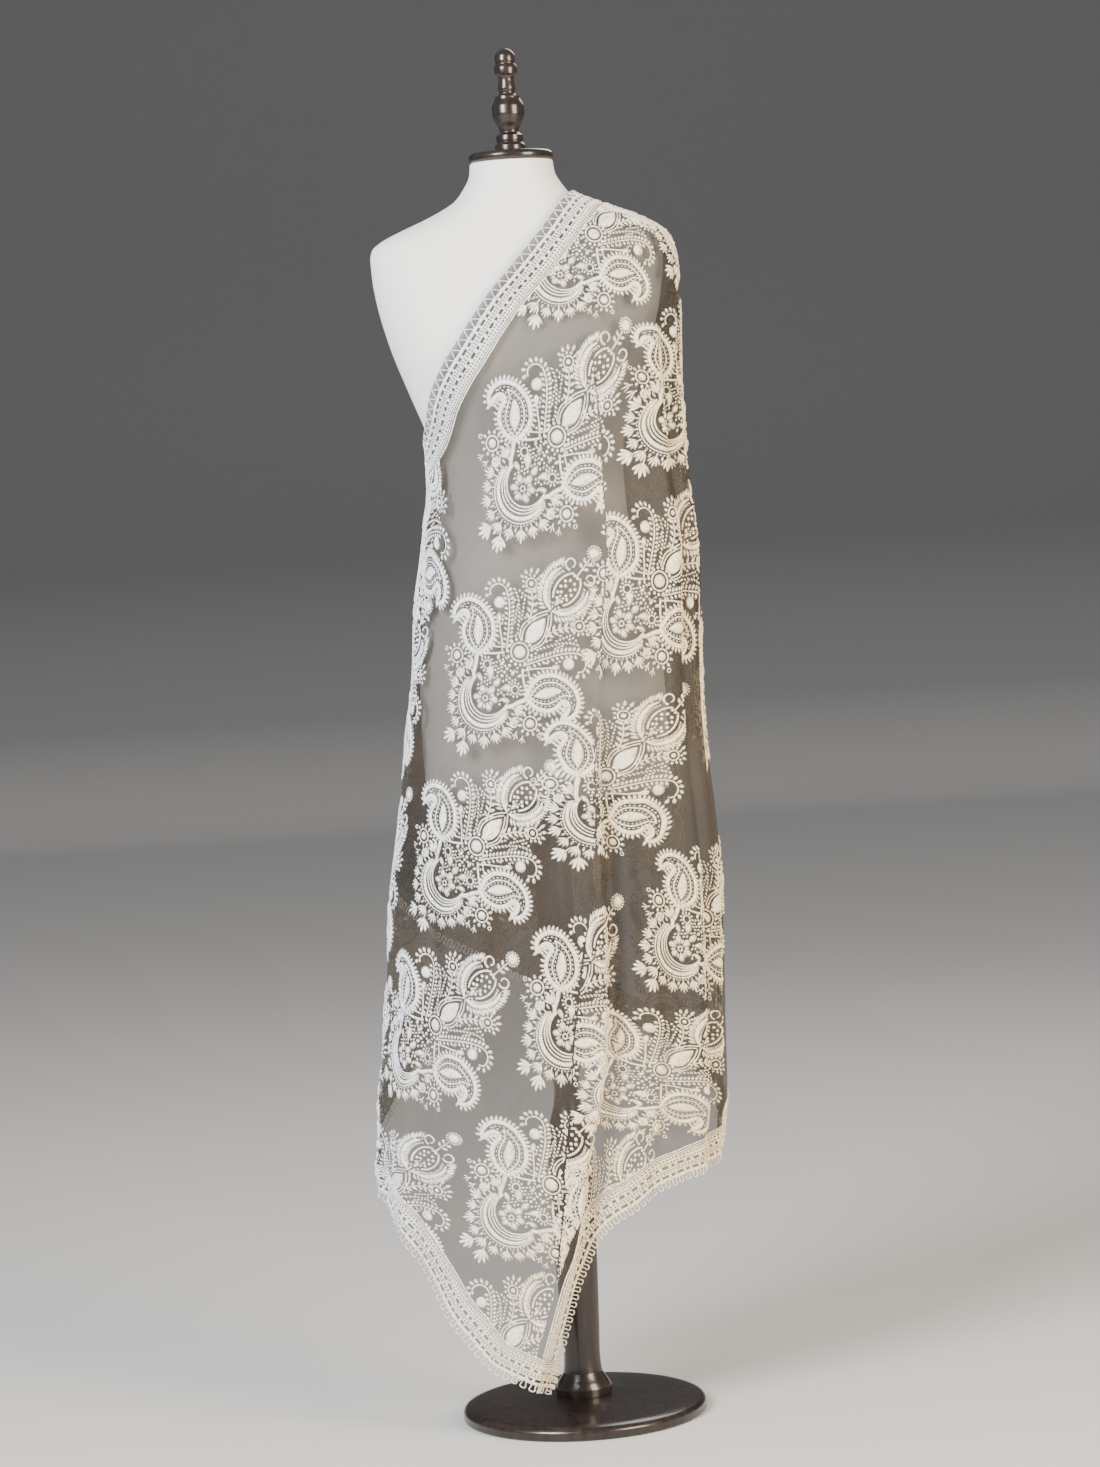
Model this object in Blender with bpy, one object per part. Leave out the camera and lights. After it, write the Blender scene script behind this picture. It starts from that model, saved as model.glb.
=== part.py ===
"""Embroidered dupatta draped on a dress form with a turned neck cap and stand.

Metres, +Z up. The origin is the centre of the stand's underside. The form faces
-Y, and +X is to the right of someone looking at its front.

The cloth is one long rectangle that goes over the form's right shoulder (seen
from the front), across the chest to the left waist and on round the back. It is
described by horizontal sections: at each height a closed oval round the form,
with an angle phi that runs from the left side (0) over the front (90), the right
side (180) and the back (270). The end that passes the left side a second time
has negative angles and lies outside the back stretch.
"""
import math
from collections import namedtuple

import bmesh
import bpy
import numpy as np

MM = 0.001

# ---------------------------------------------------------------- sizes (mm)
CLOTH_WALL = 1.0        # organza with its embroidery, as a wall
BAND_WALL = 1.0         # cutwork band laid on the cloth
SEAM_GAP = 0.35         # between pieces that meet
LAY_GAP = 0.35          # between a band and the panel that it lies on
BAND_REACH = 33.0       # width of the cutwork band
PICOT_REACH = 11.0      # looped edging outside the band
BODY_GAP = 3.0          # least room between form and cloth
WRAP_LIFT = 8.0         # the wrapped end lies this far outside the back stretch
FORM_TOP = 1534.0       # neck top
FORM_FOOT = 767.0       # underside of the form
PHI_BACK_END = 340.0    # inner end of the back stretch, under the wrapped end
BACK_COLUMNS = 28       # columns of the back stretch
BACK_STEP = (PHI_BACK_END - 180) / BACK_COLUMNS
# The free corner of the wrapped end is over the back's tenth column, so that
# both layers bend at the same angles and lie evenly on each other.
PHI_WRAP_END = 180 + 9 * BACK_STEP - 360

# The form: half width, front depth and back depth of its section at each height.
FormRow = namedtuple("FormRow", "z half front back")
FORM = [FormRow(*row) for row in (
    (1534, 50, 50, 50), (1520, 51.5, 51, 51), (1502, 61, 53, 54), (1490, 71, 55, 57),
    (1481, 85, 57, 60), (1470, 108, 60, 63), (1456, 142, 66, 69), (1446, 163, 70, 73),
    (1437, 174, 75, 77), (1426, 177, 81, 81), (1400, 176, 92, 88), (1365, 171, 107, 91),
    (1335, 164, 115, 92), (1304, 155, 117, 90), (1276, 145, 113, 87), (1246, 134, 105, 83),
    (1213, 122, 96, 79), (1180, 115, 90, 77), (1150, 114, 88, 78), (1104, 116, 91, 84),
    (1058, 125, 97, 95), (1002, 136, 102, 104), (950, 145, 105, 111), (900, 149, 106, 113),
    (850, 150, 105, 112), (796, 149, 104, 108), (767, 148, 103, 106))]

# The cloth: how far its section reaches to each side at each height.
ClothRow = namedtuple("ClothRow", "z left right front back")
CLOTH = [ClothRow(*row) for row in (
    (1498, -66, 66, 57, 60), (1494, -71, 70, 59, 62), (1484, -88, 93, 62, 65),
    (1472, -114, 120, 66, 69), (1462, -140, 144, 70, 73), (1451, -162, 165, 76, 79),
    (1440, -180, 181, 82, 85), (1426, -184, 189, 90, 91), (1396, -183, 194, 100, 97),
    (1357, -177, 194, 116, 101), (1304, -163, 192, 125, 101), (1250, -143, 190, 122, 99),
    (1213, -130, 190, 118, 98), (1189, -124, 190, 116, 99), (1150, -123, 191, 115, 102),
    (1104, -129, 196, 116, 107), (1058, -137, 199, 118, 112), (1002, -148, 197, 121, 117),
    (919, -155, 192, 124, 122), (859, -166, 191, 126, 125), (793, -176, 193, 128, 128),
    (735, -185, 197, 130, 130), (645, -201, 200, 132, 132), (573, -208, 198, 133, 134),
    (462, -219, 194, 133, 135), (392, -228, 192, 132, 134), (317, -232, 184, 129, 131),
    (250, -232, 184, 126, 128), (45, -232, 184, 118, 122))]

# Neck-side long edge on the front: how far right it is at each height.
EdgeRow = namedtuple("EdgeRow", "z x")
NECK_EDGE_FRONT = [EdgeRow(*row) for row in (
    (1190, -128), (1204, -126), (1231, -120), (1254, -115), (1285, -101), (1321, -76),
    (1369, -41), (1408, -6), (1452, 33), (1476, 51), (1496, 68))]
# The same edge down the back.
NECK_EDGE_BACK = [EdgeRow(*row) for row in (
    (1130, -124), (1150, -119), (1200, -104), (1260, -84), (1320, -56), (1380, -20),
    (1430, 16), (1470, 48), (1496, 68))]
# Short end, from the left side down to the hanging corner, then the other long
# edge, from that corner up to the right side: height at each place across.
HemRow = namedtuple("HemRow", "x z")
END_EDGE = [HemRow(*row) for row in (
    (-233, 292), (-225, 274), (-201, 229), (-178, 187), (-162, 151), (-143, 121),
    (-116, 84), (-84, 65), (-63, 54), (-40, 45))]
SIDE_EDGE = [HemRow(*row) for row in (
    (-40, 45), (-31, 60), (-20, 95), (-11, 122), (1, 158), (9, 181), (20, 205),
    (31, 230), (52, 253), (76, 267), (105, 284), (133, 293), (170, 304), (184, 317))]
# Edges that are out of the front view: height at each angle.
TurnRow = namedtuple("TurnRow", "phi z")
NECK_EDGE_WRAP = [TurnRow(*row) for row in (
    (-129, 792), (-100, 890), (-75, 985), (-45, 1085), (-20, 1155), (0, 1204))]
END_EDGE_WRAP = [TurnRow(*row) for row in (
    (-129, 752), (-100, 655), (-75, 552), (-45, 432), (-20, 340), (0, 292))]
SIDE_EDGE_BACK = [TurnRow(*row) for row in (
    (180, 317), (200, 362), (225, 420), (250, 462), (270, 496), (300, 556), (325, 608),
    (340, 640))]

# Folds: the height where each begins and where it is full, its width in degrees,
# how far it stands out, how steep its far flank is, how deep the hollow beside it
# is, how far its crest leans over, and its angle at six heights.
Fold = namedtuple("Fold", "name starts full width depth skew hollow lean "
                  "at1300 at1000 at0750 at0500 at0250 at0050")
FOLDS = [Fold(*row) for row in (
    ("front_main", 1190, 620, 9, 15, .62, .85, 9, 110, 105, 102, 103, 94, 77),
    ("front_beside_main", 900, 420, 7, 6, .2, .3, 2, 128, 124, 121, 122, 116, 108),
    ("front_waist", 1150, 560, 9, 5, .1, .4, 0, 66, 66, 64, 62, 58, 52),
    ("front_left", 930, 380, 7, 6, .2, .4, 0, 42, 42, 40, 38, 34, 30),
    ("pinch_upper", 520, 330, 5, 6, .3, .6, 0, 20, 20, 18, 15, 11, 8),
    ("pinch_lower", 420, 300, 4, 5, .3, .6, 0, 9, 9, 8, 6, 3, 2),
    ("shoulder_inner", 1400, 1240, 6, 6, .3, .5, 2, 139, 141, 143, 145, 146, 146),
    ("shoulder_outer", 1390, 1180, 6, 7, .2, .6, 2, 156, 157, 160, 160, 160, 160),
    ("side_cascade", 1330, 700, 8, 7, .2, .7, 0, 186, 188, 188, 187, 186, 186),
    ("back_first", 1360, 700, 8, 12, .3, .8, 5, 205, 206, 205, 204, 203, 203),
    ("back_second", 1380, 640, 8, 15, .3, .9, 6, 228, 226, 225, 224, 223, 223),
    ("back_third", 1330, 620, 8, 16, .3, .9, 6, 249, 247, 246, 246, 245, 245),
    ("back_fourth", 1250, 600, 7, 13, .3, .9, 5, 270, 268, 267, 266, 266, 266),
    ("back_fifth", 1160, 640, 7, 11, .2, .8, 4, 292, 290, 289, 288, 288, 288),
    ("back_sixth", 1060, 660, 8, 8, .2, .7, 3, 314, 312, 311, 310, 310, 310),
    ("left_side", 980, 600, 8, 5, .1, .5, 0, 338, 336, 336, 338, 340, 340))]
FOLD_HEIGHTS = (1300, 1000, 750, 500, 250, 50)

# Turned parts: radius at each height.
TurnedRow = namedtuple("TurnedRow", "z r")
NECK_CAP = [TurnedRow(*row) for row in (
    (0, 46), (0.8, 49), (3, 51), (6, 51.4), (9, 50.4), (11, 47.5), (11.8, 44))]
FINIAL = [TurnedRow(*row) for row in (
    (0, 17), (2, 18.4), (7, 18.4), (9, 16.8), (11, 15.6), (14, 16.4), (19, 16.2),
    (21, 13), (23, 11.5), (28, 12.6), (36, 16.5), (46, 19.6), (54, 19.4), (60, 16.8),
    (63, 15.4), (66, 15), (67, 11), (70, 9.4), (76, 10.8), (80, 10.2), (86, 9.2),
    (91, 11), (93, 13.4), (99, 14), (103, 13), (105, 11.6), (109, 12.6), (115, 12),
    (120, 8.6), (123, 4))]
COLUMN = [TurnedRow(*row) for row in (
    (24.4, 34), (34, 35), (42, 30), (52, 24), (70, 22.5), (120, 24), (200, 26),
    (290, 27), (340, 26), (365, 22), (385, 16.5), (402, 15), (420, 17), (440, 22),
    (462, 26), (540, 25), (620, 23), (690, 22), (722, 24), (736, 31), (752, 34),
    (766.6, 35))]
BASE = [TurnedRow(*row) for row in (
    (0, 148), (2, 150), (9, 150), (14, 147), (17, 138), (19, 110), (21.5, 70), (24, 42))]


# ------------------------------------------------------------- small helpers
def curve(knots, values):
    """Smooth curve through the rows of a table, without overshoot."""
    x = np.array(knots, float)
    y = np.array(values, float)
    order = np.argsort(x)
    x, y = x[order], y[order]
    h = np.diff(x)
    d = np.diff(y) / h
    m = np.empty_like(y)
    m[0], m[-1] = d[0], d[-1]
    same = d[:-1] * d[1:] > 0
    total = np.where(same, d[:-1] + d[1:], 1.0)
    m[1:-1] = np.where(same, 2 * d[:-1] * d[1:] / total, 0.0)

    def at(value):
        v = np.clip(np.asarray(value, float), x[0], x[-1])
        i = np.clip(np.searchsorted(x, v, side="right") - 1, 0, len(h) - 1)
        t = (v - x[i]) / h[i]
        return (y[i] * (1 + 2 * t) * (1 - t) ** 2 + m[i] * h[i] * t * (1 - t) ** 2
                + y[i + 1] * t * t * (3 - 2 * t) + m[i + 1] * h[i] * t * t * (t - 1))
    return at


def column(rows, key, value):
    return curve([getattr(r, key) for r in rows], [getattr(r, value) for r in rows])


def ease(t):
    t = np.clip(t, 0.0, 1.0)
    return t * t * (3 - 2 * t)


form_half = column(FORM, "z", "half")
form_front = column(FORM, "z", "front")
form_back = column(FORM, "z", "back")
cloth_left = column(CLOTH, "z", "left")
cloth_right = column(CLOTH, "z", "right")
cloth_front = column(CLOTH, "z", "front")
cloth_back = column(CLOTH, "z", "back")
fold_paths = [curve(FOLD_HEIGHTS, fold[-6:]) for fold in FOLDS]


def squareness(z):
    """Round at the neck, a little squarer below the shoulders."""
    return 2.0 + 0.3 * ease((1500 - np.asarray(z, float)) / 50)


def oval(phi, n):
    """Unit section: phi 0 is left, 90 front, 180 right, 270 back."""
    c = np.cos(np.radians(phi))
    s = np.sin(np.radians(phi))
    rho = (np.abs(c) ** n + np.abs(s) ** n) ** (-1 / n)
    return -c * rho, -s * rho


def plain_section(phi, z):
    """The cloth before its folds."""
    left, right = cloth_left(z), cloth_right(z)
    x, y = oval(phi, squareness(z))
    depth = np.where(y <= 0, cloth_front(z), cloth_back(z))
    return (left + right) / 2 + (right - left) / 2 * x, depth * y


def surface(phi, z):
    """A point of the draped cloth's middle, in mm."""
    phi, z = np.broadcast_arrays(np.asarray(phi, float), np.asarray(z, float))
    left, right = cloth_left(z), cloth_right(z)
    x, y = plain_section(phi, z)
    depth = np.where(y <= 0, cloth_front(z), cloth_back(z))
    nx = (x - (left + right) / 2) / ((right - left) / 2) ** 2
    ny = y / depth ** 2
    size = np.hypot(nx, ny)
    nx, ny = nx / size, ny / size
    out = np.zeros_like(x)
    along = np.zeros_like(x)
    for fold, path in zip(FOLDS, fold_paths):
        turn = (phi - path(z) + 180) % 360 - 180
        u = turn / fold.width
        reach = np.where(u > 0, 1 - fold.skew, 1.0)
        crest = np.exp(-(u / reach) ** 2)
        dip = np.exp(-((u - 1.15 * (1 - 0.35 * fold.skew)) / 0.5) ** 2)
        grow = ease((fold.starts - z) / (fold.starts - fold.full))
        out += grow * fold.depth * (crest - fold.hollow * dip)
        along += grow * fold.lean * crest
    x = x + nx * out - ny * along
    y = y + ny * out + nx * along
    # Kept outside the form, measured a little lower down, where it is wider.
    zf = np.clip(z - 4, FORM_FOOT, FORM_TOP)
    n = squareness(zf)
    half = form_half(zf) + BODY_GAP
    deep = np.where(y <= 0, form_front(zf), form_back(zf)) + BODY_GAP
    r = ((np.abs(x) / half) ** n + (np.abs(y) / deep) ** n) ** (1 / n)
    held = 0.5 * (r + 1 + np.sqrt((r - 1) ** 2 + 0.02 ** 2)) / r
    near = ease((z - 690) / 70)
    push = 1 + near * (held - 1)
    x, y = x * push, y * push
    lift = WRAP_LIFT * ease(-phi / 22)
    return np.stack((x + nx * lift, y + ny * lift, z), axis=-1)


def frame_at(phi, z):
    """Outward normal and the direction of growing phi."""
    a = surface(np.asarray(phi) + 0.2, z) - surface(np.asarray(phi) - 0.2, z)
    b = surface(phi, np.asarray(z) + 0.8) - surface(phi, np.asarray(z) - 0.8)
    n = np.cross(a, b)
    n /= np.linalg.norm(n, axis=-1, keepdims=True)
    a /= np.linalg.norm(a, axis=-1, keepdims=True)
    return n, a


# ------------------------------------------------------------ the cloth's edge
def height_on_edge(phi, rows, low, high):
    """Height where the column at phi meets an edge given as x at each height."""
    x_of = column(rows, "z", "x")
    z = np.linspace(low, high, 900)
    gap = plain_section(phi, z)[0] - x_of(z)
    hits = np.nonzero(gap[:-1] * gap[1:] <= 0)[0]
    if len(hits) == 0:
        return high if abs(gap[-1]) < abs(gap[0]) else low
    i = hits[-1] if phi > 90 else hits[0]
    return z[i] + (z[i + 1] - z[i]) * gap[i] / (gap[i] - gap[i + 1])


def top_edge(phi):
    if phi < 0:
        return float(column(NECK_EDGE_WRAP, "phi", "z")(phi))
    if phi <= 180:
        return height_on_edge(phi, NECK_EDGE_FRONT, 1190, 1496)
    return height_on_edge(phi, NECK_EDGE_BACK, 1130, 1496)


def bottom_edge(phi):
    if phi < 0:
        return float(column(END_EDGE_WRAP, "phi", "z")(phi))
    if phi > 180:
        return float(column(SIDE_EDGE_BACK, "phi", "z")(phi))
    x = float(plain_section(phi, 200.0)[0])
    rows = END_EDGE if x < END_EDGE[-1].x else SIDE_EDGE
    return float(column(rows, "x", "z")(x))


def corner_angle():
    """Angle of the hanging corner, where the short end meets the long edge."""
    low, high = 60.0, 120.0
    for _ in range(40):
        mid = (low + high) / 2
        if plain_section(mid, 200.0)[0] < END_EDGE[-1].x:
            low = mid
        else:
            high = mid
    return (low + high) / 2


PHI_CORNER = corner_angle()
EDGE_PHI = np.linspace(PHI_WRAP_END, PHI_BACK_END, 469)
TOP_Z = np.array([top_edge(p) for p in EDGE_PHI])
FOOT_Z = np.array([bottom_edge(p) for p in EDGE_PHI])
TOP_LINE = surface(EDGE_PHI, TOP_Z)
FOOT_LINE = surface(EDGE_PHI, FOOT_Z)


def inset(phi, upper, reach, share):
    """Height a given reach inside the edge, down (or up) the column at phi."""
    edge, line = (TOP_Z, TOP_LINE) if upper else (FOOT_Z, FOOT_LINE)
    start = float(np.interp(phi, EDGE_PHI, edge))
    other = float(np.interp(phi, EDGE_PHI, FOOT_Z if upper else TOP_Z))
    near = np.abs(EDGE_PHI - phi) < 70
    steps = np.linspace(0, 1, 90) ** 1.5 * min(260.0, abs(other - start))
    z = start + (-steps if upper else steps)
    here = surface(phi, z)
    away = np.linalg.norm(here[:, None] - line[near][None], axis=2).min(axis=1)
    away = np.maximum.accumulate(away)
    depth = float(np.interp(reach, away, steps))
    depth = min(depth, share * abs(other - start))
    return start - depth if upper else start + depth


# --------------------------------------------------------------- mesh making
def paint(obj, name, colour, roughness, coat=0.0):
    mat = bpy.data.materials.new(name)
    mat.use_nodes = True
    shader = mat.node_tree.nodes["Principled BSDF"]
    shader.inputs["Base Color"].default_value = (*colour, 1.0)
    shader.inputs["Roughness"].default_value = roughness
    shader.inputs["Metallic"].default_value = 0.0
    shader.inputs["Coat Weight"].default_value = coat
    obj.data.materials.append(mat)


def finish(name, bm, colour, roughness, coat=0.0):
    if bm.calc_volume(signed=True) < 0:
        bmesh.ops.reverse_faces(bm, faces=bm.faces[:])
    mesh = bpy.data.meshes.new(name)
    bm.to_mesh(mesh)
    bm.free()
    obj = bpy.data.objects.new(name, mesh)
    bpy.context.scene.collection.objects.link(obj)
    mesh.shade_smooth()
    mesh.set_sharp_from_angle(angle=math.radians(40))
    paint(obj, name + "_finish", colour, roughness, coat)
    return obj


def wall(name, phis, heights, lift, thick, trims, colour, roughness):
    """A closed wall through points of the draped surface, moved out by lift.

    heights has a row for each line across and a column for each angle. trims
    are how far the two end columns step back from the neighbouring piece.
    """
    phis = np.asarray(phis, float)
    heights = np.asarray(heights, float)
    grid = np.broadcast_to(phis, heights.shape)
    points = surface(grid, heights)
    normal, along = frame_at(grid, heights)
    points[:, 0] += along[:, 0] * trims[0]
    points[:, -1] -= along[:, -1] * trims[1]
    outer = (points + normal * (lift + thick / 2)) * MM
    inner = (points + normal * (lift - thick / 2)) * MM
    rows, cols = heights.shape
    bm = bmesh.new()
    top = [[bm.verts.new(outer[i, j]) for j in range(cols)] for i in range(rows)]
    low = [[bm.verts.new(inner[i, j]) for j in range(cols)] for i in range(rows)]
    for i in range(rows - 1):
        for j in range(cols - 1):
            a, b, c, d = (i, j), (i + 1, j), (i + 1, j + 1), (i, j + 1)
            for tri in ((a, b, c), (a, c, d)):
                bm.faces.new([top[r][s] for r, s in tri])
                bm.faces.new([low[r][s] for r, s in reversed(tri)])
    rim = ([(0, j) for j in range(cols)] + [(i, cols - 1) for i in range(1, rows)]
           + [(rows - 1, j) for j in range(cols - 2, -1, -1)]
           + [(i, 0) for i in range(rows - 2, 0, -1)])
    for k, (i, j) in enumerate(rim):
        p, q = rim[(k + 1) % len(rim)]
        bm.faces.new((top[i][j], top[p][q], low[p][q]))
        bm.faces.new((top[i][j], low[p][q], low[i][j]))
    return finish(name, bm, colour, roughness)


def turned(name, rows, base_z, segments, colour, roughness, coat):
    """A turned solid from a table of radii, placed at its own height."""
    bm = bmesh.new()
    rings = []
    for row in rows:
        ring = []
        for k in range(segments):
            a = 2 * math.pi * k / segments
            ring.append(bm.verts.new((row.r * MM * math.cos(a), row.r * MM * math.sin(a),
                                      row.z * MM)))
        rings.append(ring)
    for lower, upper in zip(rings, rings[1:]):
        for k in range(segments):
            m = (k + 1) % segments
            bm.faces.new((lower[k], lower[m], upper[m], upper[k]))
    bm.faces.new(rings[0][::-1])
    bm.faces.new(rings[-1])
    obj = finish(name, bm, colour, roughness, coat)
    obj.location = (0, 0, base_z * MM)
    return obj


def torso(name, segments, colour, roughness):
    """The form: rings at the heights of its table."""
    bm = bmesh.new()
    rings = []
    for row in FORM:
        phi = np.arange(segments) * 360 / segments
        x, y = oval(phi, squareness(row.z))
        y = np.where(y <= 0, row.front, row.back) * y
        rings.append([bm.verts.new((px * row.half * MM, py * MM, row.z * MM))
                      for px, py in zip(x, y)])
    for upper, lower in zip(rings, rings[1:]):
        for k in range(segments):
            m = (k + 1) % segments
            bm.faces.new((upper[k], lower[k], lower[m], upper[m]))
    bm.faces.new(rings[0])
    bm.faces.new(rings[-1][::-1])
    return finish(name, bm, colour, roughness)


# -------------------------------------------------------------------- columns
def spread(start, end, count, dense_at=None, dense_width=20.0, dense=0.0):
    """Angles from start to end, closer together round dense_at."""
    fine = np.linspace(start, end, 2001)
    weight = np.ones_like(fine)
    if dense_at is not None:
        weight += dense * np.exp(-((fine - dense_at) / dense_width) ** 2)
    total = np.concatenate(([0], np.cumsum((weight[1:] + weight[:-1]) / 2)))
    return np.interp(np.linspace(0, total[-1], count + 1), total, fine)


def with_corner(phis):
    """Moves the nearest column onto the hanging corner."""
    phis = phis.copy()
    phis[np.argmin(np.abs(phis - PHI_CORNER))] = PHI_CORNER
    return phis


def panel_rows(phis, interior, gather):
    """Heights of a panel's lines: edge, band line, interior, band line, edge."""
    columns = []
    for p in phis:
        a = inset(p, True, PICOT_REACH, 0.12)
        b = inset(p, True, PICOT_REACH + BAND_REACH, 0.38)
        c = inset(p, False, PICOT_REACH + BAND_REACH, 0.38)
        d = inset(p, False, PICOT_REACH, 0.12)
        t = np.linspace(0, 1, interior + 1) ** gather
        columns.append(np.concatenate(([a], b + (c - b) * t, [d])))
    return np.array(columns).T


def picot_rows(phis, upper):
    columns = []
    for p in phis:
        outer = inset(p, upper, 0.0, 0.0)
        inner = inset(p, upper, PICOT_REACH, 0.12)
        gap = (inner - outer) * SEAM_GAP / PICOT_REACH
        columns.append([outer, inner - gap])
    return np.array(columns).T


for old in list(bpy.data.objects):
    bpy.data.objects.remove(old, do_unlink=True)

ORGANZA = (0.42, 0.38, 0.34)
IVORY = (0.86, 0.82, 0.74)
LINEN = (0.85, 0.83, 0.79)
EBONY = (0.035, 0.02, 0.014)

torso("form_torso", 44, LINEN, 0.75)
turned("neck_cap", NECK_CAP, FORM_TOP + 0.3, 32, EBONY, 0.2, 0.6)
turned("finial", FINIAL, FORM_TOP + 0.3 + 11.8 + 0.3, 20, EBONY, 0.2, 0.6)
turned("stand_column", COLUMN, 0.0, 20, EBONY, 0.25, 0.5)
turned("stand_base", BASE, 0.0, 48, EBONY, 0.25, 0.5)

front_phi = with_corner(spread(0, 180, 34, 96, 20, 1.2))
back_phi = spread(180, PHI_BACK_END, BACK_COLUMNS)
wrap_phi = np.concatenate((back_phi[9:] - 360, (-13.3, -6.6, 0)))
front_rows = panel_rows(front_phi, 23, 1.25)
back_rows = panel_rows(back_phi, 16, 1.25)
wrap_rows = panel_rows(wrap_phi, 9, 1.0)
half_gap = SEAM_GAP / 2
wall("dupatta_front", front_phi, front_rows, 0, CLOTH_WALL, (half_gap, half_gap), ORGANZA, 0.5)
wall("dupatta_back", back_phi, back_rows, 0, CLOTH_WALL, (half_gap, 0), ORGANZA, 0.5)
wall("dupatta_wrap", wrap_phi, wrap_rows, 0, CLOTH_WALL, (0, half_gap), ORGANZA, 0.5)

BAND_LIFT = CLOTH_WALL / 2 + LAY_GAP + BAND_WALL / 2
corner = int(np.argmin(np.abs(front_phi - PHI_CORNER)))
# Each band lies on the first or last row of its panel, between two columns.
Band = namedtuple("Band", "name phis rows first last upper")
BANDS = [Band(*row) for row in (
    ("neck_front", front_phi, front_rows, 0, len(front_phi) - 1, True),
    ("neck_back", back_phi, back_rows, 0, len(back_phi) - 1, True),
    ("neck_wrap", wrap_phi, wrap_rows, 0, len(wrap_phi) - 1, True),
    ("end_front", front_phi, front_rows, 0, corner, False),
    ("end_wrap", wrap_phi, wrap_rows, 0, len(wrap_phi) - 1, False),
    ("side_front", front_phi, front_rows, corner, len(front_phi) - 1, False),
    ("side_back", back_phi, back_rows, 0, len(back_phi) - 1, False))]
for band in BANDS:
    pick = slice(band.first, band.last + 1)
    # A free end steps back no further than the panel under it does.
    trims = (0 if band.phis[band.first] < PHI_WRAP_END + 1 else half_gap,
             0 if band.phis[band.last] > PHI_BACK_END - 1 else half_gap)
    lines = band.rows[:2, pick] if band.upper else band.rows[-2:, pick]
    wall("band_" + band.name, band.phis[pick], lines, BAND_LIFT, BAND_WALL,
         trims, IVORY, 0.8)
    wall("picot_" + band.name, band.phis[pick], picot_rows(band.phis[pick], band.upper),
         0, CLOTH_WALL, trims, IVORY, 0.8)
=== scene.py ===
import math
from collections import namedtuple

import bpy
import numpy as np
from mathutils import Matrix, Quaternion, Vector


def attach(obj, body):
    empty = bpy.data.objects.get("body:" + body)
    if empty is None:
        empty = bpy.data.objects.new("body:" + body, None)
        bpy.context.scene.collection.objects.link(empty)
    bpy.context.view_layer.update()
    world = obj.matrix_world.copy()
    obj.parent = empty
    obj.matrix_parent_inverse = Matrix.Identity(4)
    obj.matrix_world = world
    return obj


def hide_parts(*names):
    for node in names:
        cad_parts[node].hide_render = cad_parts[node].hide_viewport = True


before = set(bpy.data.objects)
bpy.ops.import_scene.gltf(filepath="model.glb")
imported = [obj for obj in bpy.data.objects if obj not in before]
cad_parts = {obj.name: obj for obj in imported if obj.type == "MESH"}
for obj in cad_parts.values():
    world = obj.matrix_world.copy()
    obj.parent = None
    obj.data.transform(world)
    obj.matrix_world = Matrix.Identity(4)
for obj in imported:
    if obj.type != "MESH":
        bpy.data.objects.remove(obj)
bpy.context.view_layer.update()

MM = 0.001

# =====================================================================
# The draped cloth as a surface: angle phi round the form, height z (mm)
# =====================================================================
BODY_GAP = 3.0
WRAP_LIFT = 8.0
FORM_TOP = 1534.0
FORM_FOOT = 767.0
PHI_BACK_END = 340.0
PHI_WRAP_END = 180 + 9 * (PHI_BACK_END - 180) / 28 - 360
BAND_REACH = 33.0
PICOT_REACH = 11.0

FormRow = namedtuple("FormRow", "z half front back")
FORM = [FormRow(*row) for row in (
    (1534, 50, 50, 50), (1520, 51.5, 51, 51), (1502, 61, 53, 54), (1490, 71, 55, 57),
    (1481, 85, 57, 60), (1470, 108, 60, 63), (1456, 142, 66, 69), (1446, 163, 70, 73),
    (1437, 174, 75, 77), (1426, 177, 81, 81), (1400, 176, 92, 88), (1365, 171, 107, 91),
    (1335, 164, 115, 92), (1304, 155, 117, 90), (1276, 145, 113, 87), (1246, 134, 105, 83),
    (1213, 122, 96, 79), (1180, 115, 90, 77), (1150, 114, 88, 78), (1104, 116, 91, 84),
    (1058, 125, 97, 95), (1002, 136, 102, 104), (950, 145, 105, 111), (900, 149, 106, 113),
    (850, 150, 105, 112), (796, 149, 104, 108), (767, 148, 103, 106))]

ClothRow = namedtuple("ClothRow", "z left right front back")
CLOTH = [ClothRow(*row) for row in (
    (1498, -66, 66, 57, 60), (1494, -71, 70, 59, 62), (1484, -88, 93, 62, 65),
    (1472, -114, 120, 66, 69), (1462, -140, 144, 70, 73), (1451, -162, 165, 76, 79),
    (1440, -180, 181, 82, 85), (1426, -184, 189, 90, 91), (1396, -183, 194, 100, 97),
    (1357, -177, 194, 116, 101), (1304, -163, 192, 125, 101), (1250, -143, 190, 122, 99),
    (1213, -130, 190, 118, 98), (1189, -124, 190, 116, 99), (1150, -123, 191, 115, 102),
    (1104, -129, 196, 116, 107), (1058, -137, 199, 118, 112), (1002, -148, 197, 121, 117),
    (919, -155, 192, 124, 122), (859, -166, 191, 126, 125), (793, -176, 193, 128, 128),
    (735, -185, 197, 130, 130), (645, -201, 200, 132, 132), (573, -208, 198, 133, 134),
    (462, -219, 194, 133, 135), (392, -228, 192, 132, 134), (317, -232, 184, 129, 131),
    (250, -232, 184, 126, 128), (45, -232, 184, 118, 122))]

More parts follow.
